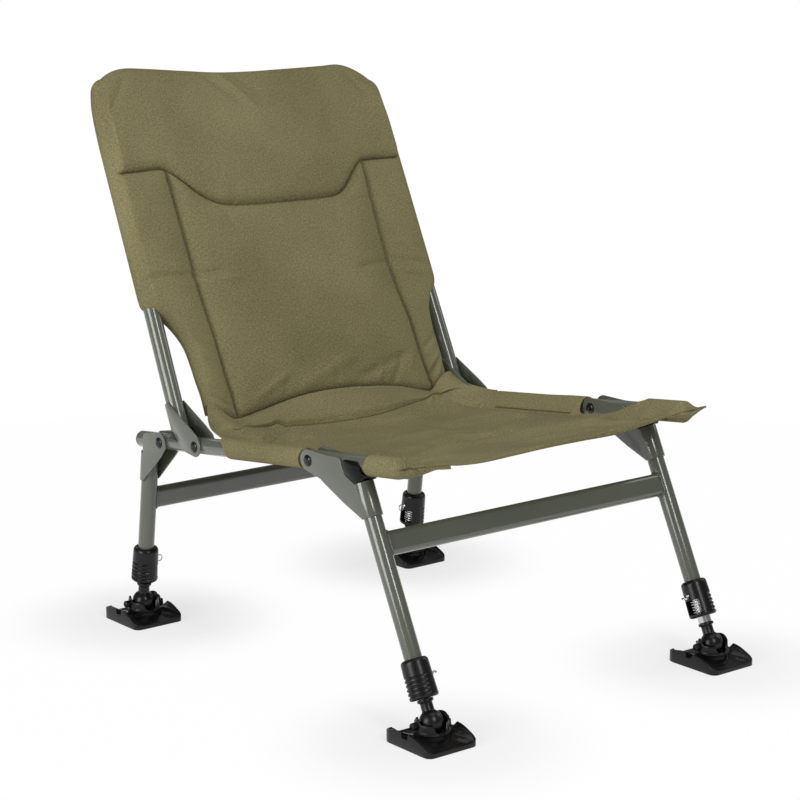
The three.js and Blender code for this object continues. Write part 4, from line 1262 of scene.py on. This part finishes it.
def sling_rows():
    """The rows of the sling from the front hem to the cushion, as (kind, place, share of the hem)."""
    rows = [("hem", 64.0, 1.14), ("hem", 58.5, 1.14), ("hem", 53.0, 1.12), ("hem", 50.4, 1.06),
            ("hem", 49.5, 0.92), ("hem", 49.1, 0.6), ("hem", FRONT_Y, 0.25)]
    tops = [49.6, 51, 53.0, 55, 57, 58.5, 60.5] + [64.0 + 7.0 * i for i in range(7)]
    tops += [108.5, 112, 114.5, 118, 126, 133, 142, 151, 160, 169, 178, 187, 196, 205, 214, 222, 229, 234,
             237, 239, 241, 245, 251]
    y = 258.0
    while y < 420:
        tops.append(y)
        y += 7.1
    tails = [0.06, 0.12, 0.19, 0.26, 0.32, 0.38, 0.42, 0.445, 0.46, 0.475, 0.5, 0.54, 0.59, 0.65, 0.72,
             0.79, 0.86, 0.93, 0.97, 1.0]
    rows += [("top", y, 0.0) for y in tops + [TAIL_Y]] + [("tail", v, 0.0) for v in tails]
    finer = []
    for row, after in zip(rows, rows[1:] + [None]):
        finer.append(row)
        if after and row[0] == after[0] != "hem":
            finer.append((row[0], (row[1] + after[1]) / 2, 0.0))
    return finer + [("tuck", 0.25, 0.0), ("tuck", 0.6, 0.0), ("tuck", 1.0, 0.0)]


def corner_place(places, t):
    """A place on the flattened corner: half the way to its tip, then a quarter down to its lowest
    place and a quarter in to its inner end."""
    (x0, h0), (x1, h1), (x2, h2), (x3, h3) = places
    if t < 0.5:
        return lerp(x0, x1, t / 0.5), lerp(h0, h1, t / 0.5)
    k = (t - 0.5) / 0.5
    if k < 0.5:
        return lerp(x1, x2, k / 0.5), lerp(h1, h2, (k / 0.5) ** 1.4)
    return lerp(x2, x3, (k - 0.5) / 0.5), lerp(h2, h3, (k - 0.5) / 0.5)


def sling_section(y, drop, side):
    """Half a cross-section from the middle out, as (x, y, height, tag)."""
    out = []
    closing = ease((59.5 - y) / 10)
    for i in range(PANEL_COLS // 2 + 1):
        x = PANEL_HALF * i / (PANEL_COLS / 2)
        out.append((x, y, sling_height(x * side, y) - drop * hem_tall(x * side), "panel"))
    foot = sling_height(PANEL_HALF * side, y)
    tip, low, inner = CORNER[side]
    lift = sleeve_lift(y, side)
    for x, share in SLOPE:
        k = (x - PANEL_HALF) / 29.5
        if NOTCH_START[side] < y < NOTCH_END:
            place = notch_place(y, side)
            reach = lerp(PANEL_HALF, notch_x(place), k)
            high = lerp(foot, notch_h(place) + lift * ease((136 - y) / 10), k**1.25)
        else:
            reach = x
            high = lerp(SLEEVE_R + lift, foot, share)
        flat = lerp(foot + 0.6, tip[1], (x - PANEL_HALF) / 45)
        high = lerp(high, flat, closing) - drop * hem_tall(x * side) * (1 - k) ** 0.5
        out.append((reach, y, high, "slope"))
    for i, a in enumerate(WRAP_ANGLES):
        c, s = math.cos(math.radians(a)), math.sin(math.radians(a))
        back = 1 - ease((a + 10) / 100) if a > -10 else 1.0 + (-10 - a) / 420
        rest = (0.9 if side > 0 > s else 0.0) * -s
        x, h = SIDE_X + SLEEVE_R * c, SLEEVE_R * s + lift * max(0.0, s) + rest
        flat = corner_place(((231, foot + 2.0), tip, low, inner), i / (len(WRAP_ANGLES) - 1))
        x, h = lerp(x, flat[0], closing), lerp(h, flat[1], closing)
        out.append((x, y - 22.0 * ease((y - 372) / 50) * back, h, "wrap"))
    for i, (x, z) in enumerate(UNDER[side]):
        k = (i + 1) / 3
        flat = (lerp(inner[0], PANEL_HALF, k), lerp(inner[1], foot - 1.6, k))
        out.append((lerp(x, flat[0], closing), y, lerp(z, flat[1], closing), "under"))
    return out


def tail_row(kind, value, side):
    """Half a row of the tail, or of the edge tucked behind the cushion."""
    count = PANEL_COLS // 2 + len(SLOPE)
    half = []
    for i in range(count + 1):
        x, y, z = tail_point(i / count, value if kind == "tail" else 1.0, side)
        if kind == "tuck":
            y, z = BACK.at(CREASE_N + 15 * value, low_edge(x) + 0.6 - 9 * value**0.7)
            x *= 1 - 0.03 * value
        half.append((x, y, z, "panel"))
    return half + [half[-1][:3] + ("gone",)] * (len(WRAP_ANGLES) + 3)


def is_open(row, above, tag, side, far):
    """Where the sling has no cloth: the hinge openings and the ends of the sleeves."""
    kind, value, _ = row
    upper_kind, upper, _ = above
    outside = tag & {"wrap", "under"}
    if kind == "top":
        in_notch = outside and NOTCH_START[side] <= value and upper <= NOTCH_END
        behind_mouth = side > 0 and 112 <= value and upper <= 126 and far > PANEL_COLS / 2 + 13
        if in_notch or behind_mouth or ("under" in tag and value >= 392):
            return True
    return "gone" in tag or (outside and (upper_kind == "tail" or kind == "hem"))


def seat_sling():
    rows = sling_rows()
    turns = len(WRAP_ANGLES)
    verts, parts = [], []
    for kind, value, drop in rows:
        halves = []
        for side in (1, -1):
            if kind in ("tail", "tuck"):
                halves.append(tail_row(kind, value, side))
            else:
                section = sling_section(value, drop, side)
                halves.append([(side * x, y, rail_z(y) + h, tag) for x, y, h, tag in section])
        right, left = halves
        row = list(reversed(left[1:])) + right
        verts.append([p[:3] for p in row])
        parts.append([p[3] for p in row])

    width = len(verts[0])
    mid = width // 2
    points = [p for row in verts for p in row]
    faces, extra = [], []
    for index, face in enumerate(quads(len(verts), width, ring=False)):
        j, k = divmod(index, width - 1)
        tag = {parts[j][k], parts[j][k + 1], parts[j + 1][k], parts[j + 1][k + 1]}
        side = -1 if k < mid else 1
        if not is_open(rows[j], rows[j + 1], tag, side, abs(k + 0.5 - mid)):
            faces.append(face)
    first_top = next(j for j, row in enumerate(rows) if row[0] == "top") - 1
    middle = first_top * width + mid
    slope_end = PANEL_COLS // 2 + len(SLOPE)
    # the front end of each sleeve, closed by a grooved strip between its upper and lower edges
    for side in (1, -1):
        upper = [middle + side * (slope_end + i) for i in range(turns // 2 + 1)]
        lower = [middle + side * (slope_end + turns - i) for i in range(turns // 2 + 1)]
        bands = [upper]
        for shift, share in ((6.0, 0.1), (4.5, 0.2), (0.4, 0.26), (-1.0, 0.5), (-0.6, 0.8)):
            bands.append([])
            for above, below in zip(upper, lower):
                a, b = Vector(points[above]), Vector(points[below])
                gap = min(1.0, (a - b).length / 6)
                bands[-1].append(len(points))
                points.append(tuple(a.lerp(b, share) + Vector((0, shift * gap, 0))))
                extra.append(above)
        bands.append(lower)
        for first, second in zip(bands, bands[1:]):
            for i in range(len(first) - 1):
                quad = list(dict.fromkeys((first[i], first[i + 1], second[i + 1], second[i])))
                if len(quad) > 2:
                    faces.append(tuple(quad) if side < 0 else tuple(reversed(quad)))
    # the folded hem's ends that hang below the front edge
    for start, stop in ((-232, -165), (186, 236)):
        faces += [tuple(reversed(f)) for f in quads(16, 4, len(points), ring=False)]
        for i in range(16):
            x = lerp(start, stop, i / 15)
            top, bottom = hem_low(x) + 1.2, flap_low(x)
            points += [(x, 52.5 - k * 0.7, rail_z(50) + lerp(top, bottom, k / 3)) for k in range(4)]
            extra += [middle + round(PANEL_COLS / 2 * x / PANEL_HALF * 0.95)] * 4
    obj = make("sling_seat_cloth", points, faces, OLIVE, 80.0, merged=False)
    mesh = obj.data
    flat = mesh.uv_layers.new(name="flat")
    across = []
    for row in verts:
        reach = [0.0]
        for a, b in zip(row, row[1:]):
            reach.append(reach[-1] + math.dist(a, b))
        across.append([r - reach[mid] for r in reach])
    along = [0.0]
    for below, above in zip(verts, verts[1:]):
        along.append(along[-1] + math.dist(below[mid], above[mid]))
    regular = len(points) - len(extra)
    for loop in mesh.loops:
        index = loop.vertex_index
        j, k = divmod(index if index < regular else extra[index - regular], width)
        down = (points[index][2] - points[j * width + k][2]) * MM
        flat.data[loop.index].uv = (across[j][k] * MM, along[j] * MM + down)
    drop_loose(mesh)
    thicken(obj, 1.3, -1.0)
    settle(obj, 80.0)
    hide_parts("seat_cloth")
    start, end = chair((0, 440, rail_z(440))), chair((0, *BACK.at(0, 60)))
    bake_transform(obj)


# ---- floor, light and camera


FEET = [(-0.235, -0.348), (0.235, -0.348), (-0.235, 0.271), (0.235, 0.271)]


def seen_by_eye(tree, *kinds):
    """1 for what the camera, a mirror or glass sees, 0 for the light on the chair."""
    paths = add(tree, "ShaderNodeLightPath").outputs
    seen = paths["Is Camera Ray"]
    for kind in kinds:
        seen = math_node(tree, "MAXIMUM", seen, paths[kind])
    return seen


def distance_to(tree, place, spot):
    return add(tree, "ShaderNodeVectorMath", {0: place, 1: spot}, operation="DISTANCE").outputs["Value"]


def white_floor():
    """White to the eye, except for the soft shadows round the feet."""
    size = 14.0
    corners = [(-size, -size, 0), (size, -size, 0), (size, size, 0), (-size, size, 0)]
    mesh = bpy.data.meshes.new("studio_floor")
    mesh.from_pydata(corners, [], [(0, 1, 2, 3)])
    material, tree = material_of("white_floor")
    matt = add(tree, "ShaderNodeBsdfDiffuse", {"Color": (0.8, 0.8, 0.8, 1)})
    glow = add(tree, "ShaderNodeEmission", {"Strength": 1.0})
    place = add(tree, "ShaderNodeTexCoord").outputs["Object"]
    gap = distance_to(tree, place, (*FEET[0], 0))
    for spot in FEET[1:]:
        gap = math_node(tree, "MINIMUM", gap, distance_to(tree, place, (*spot, 0)))
    share = map_range(tree, gap, 0.06, 0.22, 0.72, 0.985, "SMOOTHSTEP")
    away = map_range(tree, distance_to(tree, place, (0, 0, 0)), 0.75, 1.5, 0.0, 1.0, "SMOOTHSTEP")
    share = math_node(tree, "MAXIMUM", share, away)
    share = math_node(tree, "MULTIPLY", share, seen_by_eye(tree, "Is Glossy Ray", "Is Transmission Ray"))
    mix = add(tree, "ShaderNodeMixShader", {0: share, 1: matt.outputs[0], 2: glow.outputs[0]})
    add(tree, "ShaderNodeOutputMaterial", {0: mix.outputs[0]})
    mesh.materials.append(material)
    placed("studio_floor", mesh)


def studio_air():
    scene.world = bpy.data.worlds.new("studio_air")
    tree = blank(scene.world)
    level = map_range(tree, seen_by_eye(tree, "Is Transmission Ray"), 0.0, 1.0, 0.21, 1.0, "SMOOTHSTEP")
    back = add(tree, "ShaderNodeBackground", {"Color": (1, 1, 1, 1), "Strength": level})
    add(tree, "ShaderNodeOutputWorld", {0: back.outputs[0]})


def aimed(name, data, place, target):
    obj = placed(name, data)
    obj.location = place
    obj.rotation_euler = (Vector(target) - Vector(place)).to_track_quat("-Z", "Y").to_euler()
    return obj


def softbox(name, place, target, power, wide, tall):
    light = bpy.data.lights.new(name, "AREA")
    aimed(name, setup(light, shape="RECTANGLE", size=wide, size_y=tall, energy=power), place, target)


def camera():
    data = setup(bpy.data.cameras.new("photo_view"), lens=106.56, sensor_width=36.0, clip_end=60.0)
    scene.camera = aimed("photo_view", data, (-1.9119, -2.3729, 0.9838), (0.05917, 0.07595, 0.300))


camera()
white_floor()
studio_air()
softbox("top_box", (0.2, -0.3, 2.9), (0, 0.05, 0.3), 14, 1.8, 1.8)
softbox("left_box", (-3.2, -0.2, 1.1), (0, 0, 0.35), 62, 1.6, 1.8)
softbox("front_box", (-0.48, -2.5, 1.98), (0, -0.1, 0.3), 31, 0.5, 1.4)
softbox("right_box", (2.6, -0.6, 1.9), (0, 0, 0.35), 12, 1.0, 1.4)
softbox("back_box", (0.6, 2.6, 1.8), (0, 0, 0.4), 4, 1.6, 1.2)
scene.view_settings.view_transform = "Standard"
seat_rails()
pivot_rivets()
leg_brackets()
back_brackets()
saddles()
crossbar("front_cross_brace", "front_crossbar", FRONT, 215.5, "front_legs")
crossbar("rear_cross_brace", "rear_crossbar", REAR, 149.5, "rear_legs")
legs(coil_tree())
hoop()
back_cushion()
seat_sling()
